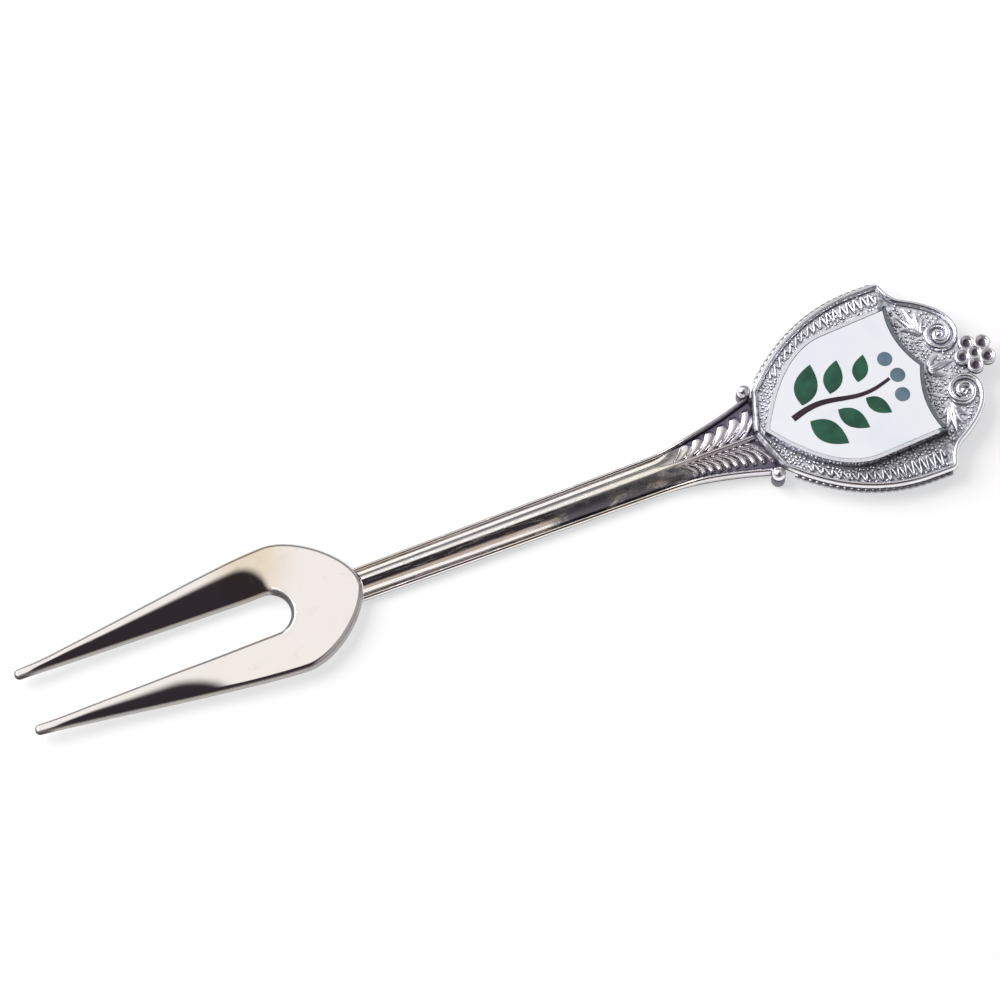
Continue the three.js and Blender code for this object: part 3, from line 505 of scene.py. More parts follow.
def stem_half(x):
    """Half the stem's width at each station."""
    x = np.asarray(x, float)
    tongue = mix(TONGUE_WIDTH, NECK_WIDTH, (x - TONGUE_TIP) / TONGUE_LENGTH) / 2
    tongue = tongue * round_end(x - TONGUE_TIP + END_FLAT, TONGUE_WIDTH / 2)
    plain = mix(NECK_WIDTH, CROWN_WIDTH, (x - BLADE_LENGTH) / (FLARE_STATION - BLADE_LENGTH)) / 2
    along = np.clip((x - FLARE_STATION) / (FLARE_END - FLARE_STATION), 0, 1)
    flare = mix(CROWN_WIDTH, FLARE_WIDTH, along ** FLARE_SWELL) / 2
    taper = mix(FLARE_WIDTH, TAB_WIDTH, ease(x, FLARE_END, TAB_END - TAB_WIDTH / 2)) / 2
    tab = taper * round_end(TAB_END - x + END_FLAT, TAB_WIDTH / 2)
    spans = [x < BLADE_LENGTH, x <= FLARE_STATION, x <= FLARE_END]
    return np.select(spans, [tongue, plain, flare], tab)


def leaf_relief(x, y):
    """Height of the struck leaf: broad curled lobes on the left, finer ones on the right."""
    relief = np.zeros_like(x)
    for side, count, width, rise in LOBES:
        for i in range(count):
            root = mix(FLARE_STATION + LOBE_LEAD, TOE_STATION - LOBE_SETBACK, i / (count - 1))
            reach = max(LOBE_LEAST, stem_half(root + LOBE_AHEAD) - LOBE_MARGIN - LOBE_ROOT)
            across = (side * y - LOBE_ROOT) / reach
            share = np.clip(across, 0, 1)
            bow = LOBE_SWEEP * share ** LOBE_BEND + LOBE_BOW * np.sin(math.pi * share)
            belly = np.sin(math.pi * mix(*LOBE_BELLY, share))
            fat = width * (LOBE_SLIM + LOBE_FULL * belly)
            ridge = 1 - ((x - root - reach * bow) / fat) ** 2
            ends = ease(across, *LOBE_START) * ease(across, *LOBE_END)
            relief = np.maximum(relief, rise * np.sqrt(np.clip(ridge, 0, 1)) * ends)
    return relief


def stem_top(x, y):
    """Height of the stem's upper face, how black it is (0 to 1) and its share of struck leaf."""
    half = stem_half(x)
    rim = np.minimum(BORDER_WIDTH, half / 3)
    struck = ease(x, FLARE_STATION, FLARE_STATION + FLARE_LENGTH / 2)
    border = mix(BORDER_HEIGHT, PANEL_BORDER, struck)
    ground = mix(border - BORDER_GROOVE, PANEL_HEIGHT, struck)
    inward = half - np.abs(y)
    round_off = np.clip(1 - np.abs(y / (half - rim)) ** CROWN_FULLNESS, 0, 1)
    rib = np.sqrt(np.clip(1 - (2 * y / RIB_WIDTH) ** 2, 0, 1))
    raised = np.maximum((RIB_HEIGHT - PANEL_HEIGHT) * rib, LOBE_HEIGHT * leaf_relief(x, y))
    cut = np.exp(-(((inward - rim) / GROOVE_SPREAD) ** 2))
    face = mix(mix(ground, CROWN_HEIGHT, round_off), PANEL_HEIGHT + raised, struck)
    face = face - GROOVE_CUT * cut * (inward > rim * GROOVE_START)
    bead = border - rim / 2 + np.sqrt(np.clip((rim / 2) ** 2 - (inward - rim / 2) ** 2, 0, None))
    top = np.where(inward < rim, np.maximum(bead, ground - GROOVE_CUT), face)
    low = struck * (1 - ease(raised, 0.0, RECESS_DEPTH)) * (inward > rim)
    # On the flare, the border on the far side is painted darker, as painted shade over its bright
    # reflection.
    far_border_shade = FAR_BORDER_SHADE * struck * ((inward < rim) & (y > 0))
    black = np.maximum(np.maximum(GROOVE_BLACK * cut, low), far_border_shade)
    return top, np.clip(black, 0, 1), struck


def heel_step(y):
    """Where the stem steps down under the heel of the blade."""
    outer = blade_edges()[1]
    heel = outer[outer[:, 0] >= BLADE_LENGTH - SHOULDER_SETBACK][::-1]
    return np.interp(np.abs(y), heel[:, 1], heel[:, 0]) + BRAZE_GAP


def toe_step(y):
    """Where the stem steps down under the toe of the head."""
    toe = TOE_STATION + np.abs(y) * TOE_DEPTH / (TOE_WIDTH / 2)
    return np.minimum(toe, FLARE_END + TOE_OVERRUN) - BRAZE_GAP


def stem_rows():
    """Closed sections of the stem from tongue to tab, with each point's black and share of leaf."""
    across = np.linspace(1, -1, STEM_ACROSS)
    rows, blacks, leafed = [], [], []

    def add_row(station, line=None, cap=None):
        half = stem_half(station)
        y = across * half
        x = np.full_like(y, station) if line is None else line(y)
        top, black, struck = stem_top(np.full_like(y, station), y)
        if cap is not None:
            top = np.minimum(top, cap)
        left = [(x[0], half - FOOT_CHAMFER / 2, 0), (x[0], half, FOOT_CHAMFER)]
        right = [(x[-1], -half, FOOT_CHAMFER), (x[-1], -half + FOOT_CHAMFER / 2, 0)]
        face = zip(x, y, np.maximum(top, FOOT_CHAMFER + FOOT_LIP))
        rows.append([*left, *face, *right, left[0]])
        black = black * mix(STEM_BLACK, 1, ease(station, *BLACKENING))
        # The points of the foot carry painted shade, so the walls darken towards the table.
        blacks.append([FOOT_SHADE] * 2 + list(black) + [FOOT_SHADE] * 3)
        leafed.append([0] * 2 + list(struck) + [0] * 3)

    shoulder = TONGUE_TIP + TONGUE_WIDTH / 2
    for station in np.linspace(TONGUE_TIP, shoulder, TONGUE_END_STEPS)[:-1]:
        add_row(station, cap=LAP_HEIGHT)
    for station in np.linspace(shoulder, BLADE_LENGTH - HEEL_LEAD, TONGUE_STEPS):
        add_row(station, cap=LAP_HEIGHT)
    add_row(BLADE_LENGTH, heel_step, LAP_HEIGHT)
    add_row(BLADE_LENGTH, heel_step)
    for station in np.linspace(BLADE_LENGTH + STEP_LEAD, FLARE_STATION, PLAIN_STEPS)[:-1]:
        add_row(station)
    last = TOE_STATION - TOE_LEAD
    for station in np.linspace(FLARE_STATION, last, LEAF_STEPS):
        add_row(station)
    for share in np.linspace(0, 1, TOE_STEPS)[1:]:
        add_row(mix(last, FLARE_END, share), lambda y: mix(last, toe_step(y), share))
    add_row(FLARE_END, toe_step, TAB_HEIGHT)
    for station in np.linspace(FLARE_END + STEP_LEAD, TAB_END, TAB_STEPS):
        add_row(station, cap=TAB_HEIGHT)
    return rows, blacks, leafed


def draw_up(rise):
    bpy.ops.mesh.extrude_region_move(TRANSFORM_OT_translate={"value": (0, 0, rise * MM)})


def turn_up(name, x, y, profile, sides=28):
    """A turned form: a disc whose face is drawn up and scaled from ring to ring."""
    (radius, height), *rest = profile
    place = Vector(((TIP_X + x) * MM, y * MM, 0))
    piece = add_primitive(
        name, bpy.ops.mesh.primitive_circle_add, vertices=sides, radius=radius * MM,
        fill_type="NGON", location=place + Vector((0, 0, height * MM)),
    )
    bpy.ops.object.transform_apply()
    edit_mesh()
    for next_radius, next_height in rest:
        draw_up(next_height - height)
        share = next_radius / radius
        centre = place + Vector((0, 0, next_height * MM))
        bpy.ops.transform.resize(value=(share, share, 1), center_override=centre)
        radius, height = next_radius, next_height
    leave_mesh()
    return close_up(piece)


rows, blacks, leafed = stem_rows()
stem = lay_grid("stem_struck", rows)
store_values(stem, "recess_and_shade", blacks)
store_values(stem, "leaf_share", leafed)
stem_pieces = [close_up(stem, fill=True)]
pad_profile = [(BEAD_RADIUS - PAD_FOOT[0], 0), (BEAD_RADIUS, PAD_FOOT[1])]
pad_profile += [(BEAD_RADIUS, PANEL_BORDER - PAD_LIP[1]), (BEAD_RADIUS - PAD_LIP[0], PANEL_BORDER)]
for side in (1, -1):
    pad = turn_up("bead_pad", TOE_STATION + BEAD_STATION, side * BEAD_OFFSET, pad_profile)
    # The pads under the shoulder beads are painted dark, as a painted shadow beneath the beads.
    store_values(pad, "recess_and_shade", np.full(len(pad.data.vertices), PAD_SHADOW))
    stem_pieces.append(pad)
stem = join_pieces(stem_pieces, "stem_struck")

SMUDGE_NEAR = (-16, -9)
SMUDGE_PAST = (6, 2)
SMUDGE_RIGHT = (0.3, -0.6)
SMUDGE_INSIDE = (-2.0, -1.75, 0.4, 1.0)
SMUDGE_STRETCH = (1, 1.8, 1)
SMUDGE_NOISE = (320.0, 4.0, 0.65)
SMUDGE_CLOUD = (0.3, 0.62, 0.42, 0.95)
SPECK_NOISE = (1800.0, 4.0, 0.7)
SPECK_RANGE = (0.3, 0.7)
OXIDE_AND_SHADE_RANGE = (0.25, 0.8)
DIP_DULLING = 0.3
DIP_BUMP = (0.2, 0.00003)
STEM_GLOSS = (0.1, 0.22)
STEM_WEAR = 0.06
LEAF_DULLING = 0.14
stem_tints = (plate_pale, (0.93, 0.88, 0.8), plate_dull)
leaf_shade = (0.165, 0.155, 0.18)
leaf_cool = (0.88, 0.88, 1.0)


def split_place(tree, turn=0.0):
    """The three object coordinates, by the letters of their axes."""
    values = {"Vector": object_place(tree, turn=turn)}
    return add_node(tree, "ShaderNodeSeparateXYZ", values).outputs


def stem_mask(tree):
    """Dark with oxide in the recesses and with painted shade at the foot, on the bead pads and
    along the far border; smudged on the right where the plain stem runs into the leaf.
    """
    place = split_place(tree)
    leaf = TIP_X + FLARE_STATION
    near = add_zone(tree, place["X"], *(leaf + x for x in SMUDGE_NEAR))
    past = add_zone(tree, place["X"], *(leaf + x for x in SMUDGE_PAST))
    right = add_zone(tree, place["Y"], *SMUDGE_RIGHT)
    inside = add_zone(tree, place["Y"], *SMUDGE_INSIDE)
    cloud = add_noise(tree, object_place(tree, SMUDGE_STRETCH), *SMUDGE_NOISE)
    patch = add_range(tree, cloud, *SMUDGE_CLOUD)
    smudge = add_math(tree, "MULTIPLY", near, past, right, inside, patch)
    return add_math(tree, "MAXIMUM", read_attribute(tree, "recess_and_shade"), smudge)


def struck_silver(name, mask_of, tints, dark, gloss, wear=0.18):
    """Silver plate darkened raggedly as far as its mask says: by the oxidising dip, and by
    painted shade where the mask holds some.
    """
    material, tree, shader, tint, roughness, scratch = start_plate(name, tints, gloss)
    speck = add_noise(tree, object_place(tree), *SPECK_NOISE)
    ragged = add_math(tree, "ADD", mask_of(tree), add_range(tree, speck, *SPECK_RANGE, -wear, wear))
    share = add_range(tree, ragged, *OXIDE_AND_SHADE_RANGE)
    dulled = add_math(tree, "ADD", roughness, add_math(tree, "MULTIPLY", share, DIP_DULLING))
    height = add_math(tree, "ADD", scratch["Height"], add_math(tree, "MULTIPLY", speck, share))
    set_finish(tree, shader, add_mix(tree, share, tint, dark), dulled, height, DIP_BUMP)
    return material


stem_silver = struck_silver("stem_silver", stem_mask, stem_tints, leaf_shade, STEM_GLOSS, STEM_WEAR)
# The struck leaf is cooler in colour and duller than the plain stem.
tree = stem_silver.node_tree
shader = tree.nodes["Principled BSDF"]
leaf_share = read_attribute(tree, "leaf_share")
plain, gloss = (shader.inputs[name].links[0].from_socket for name in ("Base Color", "Roughness"))
dulled = add_math(tree, "ADD", gloss, add_math(tree, "MULTIPLY", leaf_share, LEAF_DULLING))
cooled = add_mix(tree, leaf_share, plain, leaf_cool, "MULTIPLY")
feed(tree, shader, {"Base Color": cooled, "Roughness": dulled})
finish_piece(stem, stem_silver, "polished_silver", "stem")

# Back plate.
# The shield-shaped plate that carries all the ornament of the head, with a round tab behind the
# finial. The oxidising dip left its ground dull and dark, darkest on the right-hand band, where a
# painted shadow of the badge is added; the pockets at the ears carry painted shade, and the wall
# darkens towards the bottom.
PLATE_THICKNESS = 1.2
PLATE_TOP = TAB_HEIGHT + PLATE_THICKNESS
HEAD_WIDTH = 23.8
SIDE_PULL = 6.7
SIDE_STRAIGHT = 3.0
EAR_STATION = 19.7
EAR_DEPTH = 1.8
EAR_NOTCH = 2.9
EAR_KNEE = (0.25, 0.75)
EAR_START = 0.12
CREST_RISE = 6.35
CREST_SWELL = 2.9
FINIAL_NECK = 3.0
FINIAL_NOTCH = 0.6
FINIAL_RISE = 0.5
FINIAL_FOOT = 0.1
FINIAL_LIP = (0.02, 0.01)
PLATE_INSET = 0.4
PLATE_BREAK = 0.12
BREAK_ANGLE = math.radians(40)
VOLUTE_RADIUS = 1.95
VOLUTE_SPREAD = 1.17
PETAL_COUNT = 5
PETAL_RADIUS = 0.98
PETAL_RING = 1.45
SIDE_STEPS, STRAIGHT_STEPS, EAR_STEPS = 29, 13, 25
SHOULDER_STATION = EAR_STATION + CREST_RISE
SHOULDER_OFFSET = PETAL_RING + PETAL_RADIUS + VOLUTE_SPREAD
FLOWER_STATION = SHOULDER_STATION + FINIAL_RISE
POCKET_START = (-1.1, -0.8)
POCKET_END = (1.0, 0.7)
POCKET_SIDE = (8.4, 8.8)
POCKET_SHADE = 0.56
BAND_OXIDE_AND_SHADOW = (-4.5, -8.5, 0.4, 0.58)
WALL_BLACK = (PLATE_TOP - 0.1, PLATE_TOP - 0.4, 0.0, 0.8)
GROUND_GLOSS = (0.4, 0.54)
ground_tints = ((0.91, 0.91, 0.985), (0.86, 0.86, 0.93), (0.71, 0.71, 0.77))
ground_dark = (0.19, 0.19, 0.21)


def edge_normals(points, closed):
    """The mitred normal on the right hand of a level line, at each of its points."""
    points = np.asarray(points, float)
    before = np.roll(points, 1, axis=0)
    after = np.roll(points, -1, axis=0)
    if not closed:
        before[0] = points[0] - (points[1] - points[0])
        after[-1] = points[-1] + (points[-1] - points[-2])
    come = points - before
    leave = after - points
    come /= np.linalg.norm(come, axis=1)[:, None]
    leave /= np.linalg.norm(leave, axis=1)[:, None]
    first = np.stack([come[:, 1], -come[:, 0]], 1)
    normal = first + np.stack([leave[:, 1], -leave[:, 0]], 1)
    normal /= np.linalg.norm(normal, axis=1)[:, None]
    return normal / np.maximum(0.5, (normal * first).sum(1))[:, None]


def moved_out(points, distance, closed=True):
    return np.asarray(points, float) + edge_normals(points, closed) * distance


def head_half():
    """The outer edge of the head on the left, from the toe to the top of the volute."""
    half = HEAD_WIDTH / 2
    fine = np.linspace(0, 1, SIDE_STEPS)[1:]
    start = (TOE_DEPTH, TOE_WIDTH / 2)
    straight = (EAR_STATION - SIDE_STRAIGHT, half)
    ear = (EAR_STATION, half)
    knee = (EAR_STATION + EAR_DEPTH * EAR_KNEE[0], half - EAR_NOTCH * EAR_KNEE[1])
    notch = (EAR_STATION + EAR_DEPTH, half - EAR_NOTCH)
    shoulder = (SHOULDER_STATION, SHOULDER_OFFSET + CREST_SWELL)
    return np.concatenate([
        np.array([(0, 0), start], float),
        bezier([start, (TOE_DEPTH + SIDE_PULL, half), straight], fine),
        bezier([straight, ear], np.linspace(0, 1, STRAIGHT_STEPS)[1:]),
        bezier([ear, knee, notch], np.linspace(EAR_START, 1, EAR_STEPS)),
        bezier([notch, shoulder, (SHOULDER_STATION, SHOULDER_OFFSET)], fine),
    ])


def whole_outline(half):
    """The closed anticlockwise outline from its half on the left."""
    half = np.asarray(half, float)
    first = 1 if abs(half[0, 1]) < 1e-9 else 0
    last = len(half) - 1 if abs(half[-1, 1]) < 1e-9 else len(half)
    return np.concatenate([half * (1, -1), half[first:last][::-1]])


def on_head(points):
    return np.asarray(points, float) + (TOE_STATION, 0)


def raise_outline(name, outline, bottom, top):
    """A flat plate: a filled ring moved onto the outline, then drawn up to its thickness."""
    piece = add_primitive(
        name, bpy.ops.mesh.primitive_circle_add, vertices=len(outline), fill_type="NGON"
    )
    set_points(piece, np.column_stack([outline, np.full(len(outline), bottom)]))
    edit_mesh()
    draw_up(top - bottom)
    leave_mesh()
    return piece


def break_edges(piece, width, segments=3):
    """Takes the sharpness off the edges of a piece."""
    close_up(piece)
    bevel = piece.modifiers.new("bevel", "BEVEL")
    bevel.width = width * MM
    bevel.segments = segments
    bevel.limit_method = "ANGLE"
    bevel.angle_limit = BREAK_ANGLE
    bpy.ops.object.modifier_apply(modifier=bevel.name)
    bpy.ops.object.shade_smooth_by_angle(angle=SMOOTH_ANGLE)
    return piece


def raise_plate(name, outline, bottom, top, edge, segments=3):
    return break_edges(raise_outline(name, outline, bottom, top), edge, segments)


neck = [(SHOULDER_STATION - FINIAL_NOTCH, FINIAL_NECK / 2 + PLATE_INSET)]
neck.append((FLOWER_STATION, FINIAL_NECK / 2))
head_outline = whole_outline(np.concatenate([head_half(), neck]))
plate_line = on_head(moved_out(head_outline, -PLATE_INSET))
plate = raise_plate("back_plate_oxidised", plate_line, TAB_HEIGHT, PLATE_TOP, PLATE_BREAK)
tab_profile = [(PETAL_RING - FINIAL_FOOT, TAB_HEIGHT), (PETAL_RING, TAB_HEIGHT + FINIAL_FOOT)]
tab_profile.append((PETAL_RING, PLATE_TOP - FINIAL_LIP[0]))
tab_profile.append((PETAL_RING - FINIAL_LIP[0], PLATE_TOP - FINIAL_LIP[1]))
finial_tab = turn_up("finial_tab", TOE_STATION + FLOWER_STATION, 0, tab_profile)
back_plate = join_pieces([plate, finial_tab], "back_plate_oxidised")


def ground_mask(tree):
    """Painted shade in the pockets at the ears, oxide darkest on the right-hand band, which also
    holds a painted shadow of the badge, a wall darker towards the bottom, and dull elsewhere.
    """
    place = split_place(tree)
    across = add_math(tree, "ABSOLUTE", place["Y"])
    ear = TIP_X + TOE_STATION + EAR_STATION
    behind = add_zone(tree, place["X"], *(ear + x for x in POCKET_START))
    ahead = add_zone(tree, place["X"], *(ear + x for x in POCKET_END))
    outer = add_zone(tree, across, *POCKET_SIDE)
    # The pockets at the ears get painted shade.
    pocket = add_math(tree, "MULTIPLY", behind, ahead, outer, POCKET_SHADE)
    # Oxide over all the ground, darker on the right-hand band, which also holds a painted shadow of
    # the badge.
    band_oxide_and_shadow = add_zone(tree, place["Y"], *BAND_OXIDE_AND_SHADOW)
    wall = add_zone(tree, place["Z"], *WALL_BLACK)
    return add_math(tree, "MAXIMUM", wall, pocket, band_oxide_and_shadow)


ground_silver = struck_silver(
    "blackened_ground", ground_mask, ground_tints, ground_dark, GROUND_GLOSS
)
finish_piece(back_plate, ground_silver, "oxidised_silver", "back_plate")

# Border wires.
# Half-round silver wire soldered round the plate, one length to each side: it starts at the
# toe, turns the ear and curls up into a volute whose eye is a small ball.
SIDES = ((1, "left"), (-1, "right"))
WIRE_WIDTH = 0.75
WIRE_HEIGHT = 0.7
WIRE_SIDES = 12
VOLUTE_EYE = 0.45
VOLUTE_GAP = 0.18
VOLUTE_STEPS = 91
VOLUTE_TURNS = (VOLUTE_RADIUS - VOLUTE_EYE) / (WIRE_WIDTH + VOLUTE_GAP)
SOLDER_GAP = 0.05
EYE_BALL = 0.52
EYE_STEPS = (16, 6)
EAR_ROUND = 0.5
EAR_CLEAR = EAR_ROUND * 1.1
EAR_INSET = WIRE_WIDTH * 0.51
EAR_LOOK = 3
BEND_STEPS = 13
DOME_CUT = 1e-4
WIRE_FOOT = (0.02, 0.42)
TOE_DULL = (1.6, -0.2)
TOE_BLACK = 0.6
WIRE_GLOSS = (0.26, 0.42)
head_tints = ((0.91, 0.92, 0.985), (0.88, 0.885, 0.93), (0.71, 0.715, 0.77))
head_dark = (0.25, 0.25, 0.275)


def sweep(name, path, side, section):
    """A closed section carried along a level path; it gives its reach outwards and its height."""
    rows = []
    for i, (point, normal) in enumerate(zip(path, edge_normals(path, False))):
        out, up = section(i)
        rows.append([(x, side * y, z) for (x, y), z in zip(point + np.outer(out, normal), up)])
    return close_up(lay_grid(name, rows), fill=True)


def lay_wire(name, path, side, width, height, sides):
    """Half-round wire laid along a level path on the plate, flat side down, its ends closed."""
    turn = np.append(np.linspace(0, math.pi, sides + 1), 0)
    out, up = np.cos(turn) * width / 2, PLATE_TOP + height * np.sin(turn)
    return sweep(name, path, side, lambda i: (out, up))


def border_path():
    """The middle line of the left-hand wire, and the centre of its volute."""
    rim = WIRE_WIDTH / 2
    path = moved_out(head_half(), rim, False)
    ear = int(np.argmax(path[:, 0] * (path[:, 1] > HEAD_WIDTH / 2 - EAR_INSET)))
    into = path[ear] - path[ear - 1]
    out_of = path[ear + EAR_LOOK] - path[ear]
    before = path[ear] - EAR_ROUND * into / np.linalg.norm(into)
    after = path[ear] + EAR_ROUND * out_of / np.linalg.norm(out_of)
    bend = bezier([before, path[ear], after], np.linspace(0, 1, BEND_STEPS))
    clear = np.linalg.norm(path - path[ear], axis=1) > EAR_CLEAR
    path = np.concatenate([path[:ear][clear[:ear]], bend, path[ear:][clear[ear:]]])
    along = path[1] - path[0]
    along = along / np.linalg.norm(along)
    path[0] += along * (rim * along[0] + SOLDER_GAP - path[0, 1]) / along[1]
    centre = np.array([path[-1, 0] - VOLUTE_RADIUS, SHOULDER_OFFSET])
    share = np.linspace(0, 1, VOLUTE_STEPS)[1:]
    radius = mix(VOLUTE_RADIUS, VOLUTE_EYE, share)
    curl = centre + arc(-2 * math.pi * VOLUTE_TURNS * share) * radius[:, None]
    return np.concatenate([path, curl]), centre


def cut_below(height, threshold):
    """Cuts off what lies below a height in metres, and closes the cut."""
    edit_mesh()
    bpy.ops.mesh.bisect(
        plane_co=(0, 0, height), plane_no=(0, 0, 1), clear_inner=True, use_fill=True,
        threshold=threshold,
    )
    leave_mesh()


def dome(name, x, y, z, radius, height, sides, rings):
    """The upper half of a ball standing on a flat place."""
    piece = add_primitive(
        name, bpy.ops.mesh.primitive_uv_sphere_add, segments=sides, ring_count=rings * 2, radius=1
    )
    cut_below(0, DOME_CUT)
    piece.scale = (radius * MM, radius * MM, height * MM)
    piece.location = ((TIP_X + x) * MM, y * MM, z * MM)
    bpy.ops.object.transform_apply()
    bpy.ops.object.shade_smooth()
    return piece


def height_mask(base, low, high):
    """Dark below one height over a base and bright above another, in millimetres."""
    def mask_of(tree):
        return add_zone(tree, split_place(tree)["Z"], base + high, base + low)
    return mask_of


def wire_mask(tree):
    """Dark at the wire's foot, and dulled all over along the toe."""
    toe = TIP_X + TOE_STATION + TOE_DEPTH
    limits = (toe + x for x in TOE_DULL)
    along_toe = add_zone(tree, split_place(tree)["X"], *limits, 0.0, TOE_BLACK)
    return add_math(tree, "MAXIMUM", height_mask(PLATE_TOP, *WIRE_FOOT)(tree), along_toe)


wire_silver = struck_silver("wire_silver", wire_mask, head_tints, head_dark, WIRE_GLOSS)
path, (eye_x, eye_y) = border_path()
path = on_head(path)
for side, word in SIDES:
    name = f"border_wire_{word}_smooth"
    wire = lay_wire(name, path, side, WIRE_WIDTH, WIRE_HEIGHT, WIRE_SIDES)
    eye_place = (TOE_STATION + eye_x, side * eye_y, PLATE_TOP)
    eye = dome("volute_eye", *eye_place, EYE_BALL, WIRE_HEIGHT, *EYE_STEPS)
    wire = join_pieces([wire, eye], name)
    finish_piece(wire, wire_silver, "oxidised_silver", f"border_wire_{word}")

# Beaded wires.
# Wire swaged into beads, tucked under the overhang of the border and soldered to the edge of
# the plate all along its curved sides. It stayed dark from the oxidising dip.
BEADING_RADIUS = 0.36
BEADING_WAIST = 0.25
BEADING_PLAY = 0.02
BEADING_FULLNESS = 0.7
BEADING_PITCH = 0.78
BEADING_LEAD = 0.6
BEADING_STEPS = 8
BEADING_SIDES = 13
BEADING_HEIGHT = PLATE_TOP - SOLDER_GAP - BEADING_RADIUS
BEADING_FOOT = (-0.35, -0.05)
BEADING_GLOSS = (0.36, 0.5)
beading_tints = ((0.42, 0.42, 0.45), (0.39, 0.39, 0.41), (0.31, 0.31, 0.33))
beading_dark = (0.13, 0.13, 0.14)
ring = np.linspace(0, 2 * math.pi, BEADING_SIDES)


def bead_section(i):
    swell = math.sin(math.pi * (i % BEADING_STEPS) / BEADING_STEPS) ** BEADING_FULLNESS
    radius = mix(BEADING_WAIST, BEADING_RADIUS - BEADING_PLAY, swell)
    return np.cos(ring) * radius, BEADING_HEIGHT + radius * np.sin(ring)


edge = moved_out(head_half(), PLATE_INSET - SOLDER_GAP - BEADING_RADIUS, False)
start, end = TOE_DEPTH + BEADING_LEAD, EAR_STATION - BEADING_LEAD
edge = edge[(edge[:, 0] > start) & (edge[:, 0] < end)]
run = np.concatenate([[0], np.cumsum(np.linalg.norm(np.diff(edge, axis=0), axis=1))])
walk = np.linspace(0, run[-1], round(run[-1] / BEADING_PITCH) * BEADING_STEPS + 1)
bead_line = on_head(np.stack([np.interp(walk, run, line) for line in edge.T], 1))
beading_silver = struck_silver(
    "beading_silver", height_mask(BEADING_HEIGHT, *BEADING_FOOT),
    beading_tints, beading_dark, BEADING_GLOSS,
)
for side, word in SIDES:
    beads = sweep(f"beaded_wire_{word}_smooth", bead_line, side, bead_section)
    finish_piece(beads, beading_silver, "oxidised_silver", f"beaded_wire_{word}")

# Badge bed and badge tray.
# A stamped shield-shaped tray of plated metal, set a little out of square in a thin bed of
# cement on the plate. Its rim was faced off bright; its sides carry painted shade, and the rim
# along the scooped end a painted dark reflection.
BAND_WIDTH = 3.8
BADGE_TIP_ANGLE = math.radians(58)
BADGE_SIDE_START = 10.5
BADGE_CUSP = 0.9
BADGE_SCOOP = 0.9
BADGE_STATION = 1.05
BADGE_TURN = math.radians(3)
BADGE_STEPS = 33
CEMENT_THICKNESS = 0.2
CEMENT_INSET = 0.7
CEMENT_BREAK = 0.05
CEMENT_ROUGHNESS = 0.85
CEMENT_BUMP = (0.5, 0.00005)
CRUMB_NOISE = (2500.0, 5.0, 0.7)
CRUMB_RANGE = (0.35, 0.7)
TRAY_HEIGHT = 1.4
TRAY_FLOOR = 0.6
TRAY_WALL = 0.4
TRAY_BREAK = 0.12
TRAY_SIDES = (0.1, TRAY_HEIGHT - 0.1)
TRAY_SIDE_SHADE = 0.62
TRAY_SCOOP = (-0.1, 0.5)
TRAY_SCOOP_REFLECTION = 0.74
TRAY_GLOSS = (0.18, 0.32)
TRAY_WEAR = 0.06
BADGE_LENGTH = EAR_STATION - BADGE_STATION
BADGE_WIDTH = HEAD_WIDTH - 2 * BAND_WIDTH
TRAY_BASE = PLATE_TOP + CEMENT_THICKNESS
ENAMEL_BASE = TRAY_BASE + TRAY_FLOOR
ENAMEL_TOP = TRAY_BASE + TRAY_HEIGHT
cement_pale = (0.5, 0.45, 0.34)
cement_dark = (0.33, 0.29, 0.22)
tray_tints = ((0.78, 0.8, 0.87), (0.75, 0.76, 0.82), (0.6, 0.61, 0.66))
# The slate dark of the painted shade and painted reflection on the tray.
tray_painted_dark = (0.16, 0.18, 0.215)


def badge_outline():
    half = BADGE_WIDTH / 2
    fine = np.linspace(0, 1, BADGE_STEPS)
    pull = (half / math.tan(BADGE_TIP_ANGLE), half)
    foot = bezier([(0, 0), pull, (BADGE_SIDE_START, half)], fine)
    dip = (BADGE_LENGTH + BADGE_CUSP / 2 - 2 * BADGE_SCOOP, half / 2)
    top = bezier([(BADGE_LENGTH, half), dip, (BADGE_LENGTH + BADGE_CUSP, 0)], fine)
    return whole_outline(np.concatenate([foot, top]))


def turned(points, angle):
    c, s = math.cos(angle), math.sin(angle)
    return np.asarray(points, float) @ np.array([[c, s], [-s, c]])


def on_badge(points):
    """Places in the badge's own frame, turned and brought onto the head."""
    middle = np.array([BADGE_LENGTH / 2, 0])
    return on_head(turned(points - middle, BADGE_TURN) + middle + (BADGE_STATION, 0))


bed_line = on_badge(moved_out(badge_outline(), -CEMENT_INSET))
bed = raise_plate("badge_cement_bed", bed_line, PLATE_TOP, TRAY_BASE, CEMENT_BREAK)
cement, tree, shader = start_material("hard_cement")
crumb = add_noise(tree, object_place(tree), *CRUMB_NOISE)
crumbled = add_mix(tree, add_range(tree, crumb, *CRUMB_RANGE), cement_pale, cement_dark)
set_finish(tree, shader, crumbled, CEMENT_ROUGHNESS, crumb, CEMENT_BUMP)
finish_piece(bed, cement, "cement", "badge_cement")

badge_line = on_badge(badge_outline())
tray = raise_outline("badge_tray_stamped", badge_line, TRAY_BASE, ENAMEL_TOP)
bpy.ops.object.mode_set(mode="EDIT")
bpy.ops.mesh.select_mode(type="FACE")
bpy.ops.mesh.inset(thickness=TRAY_WALL * MM, depth=0)
draw_up(ENAMEL_BASE - ENAMEL_TOP)
leave_mesh()
break_edges(tray, TRAY_BREAK)


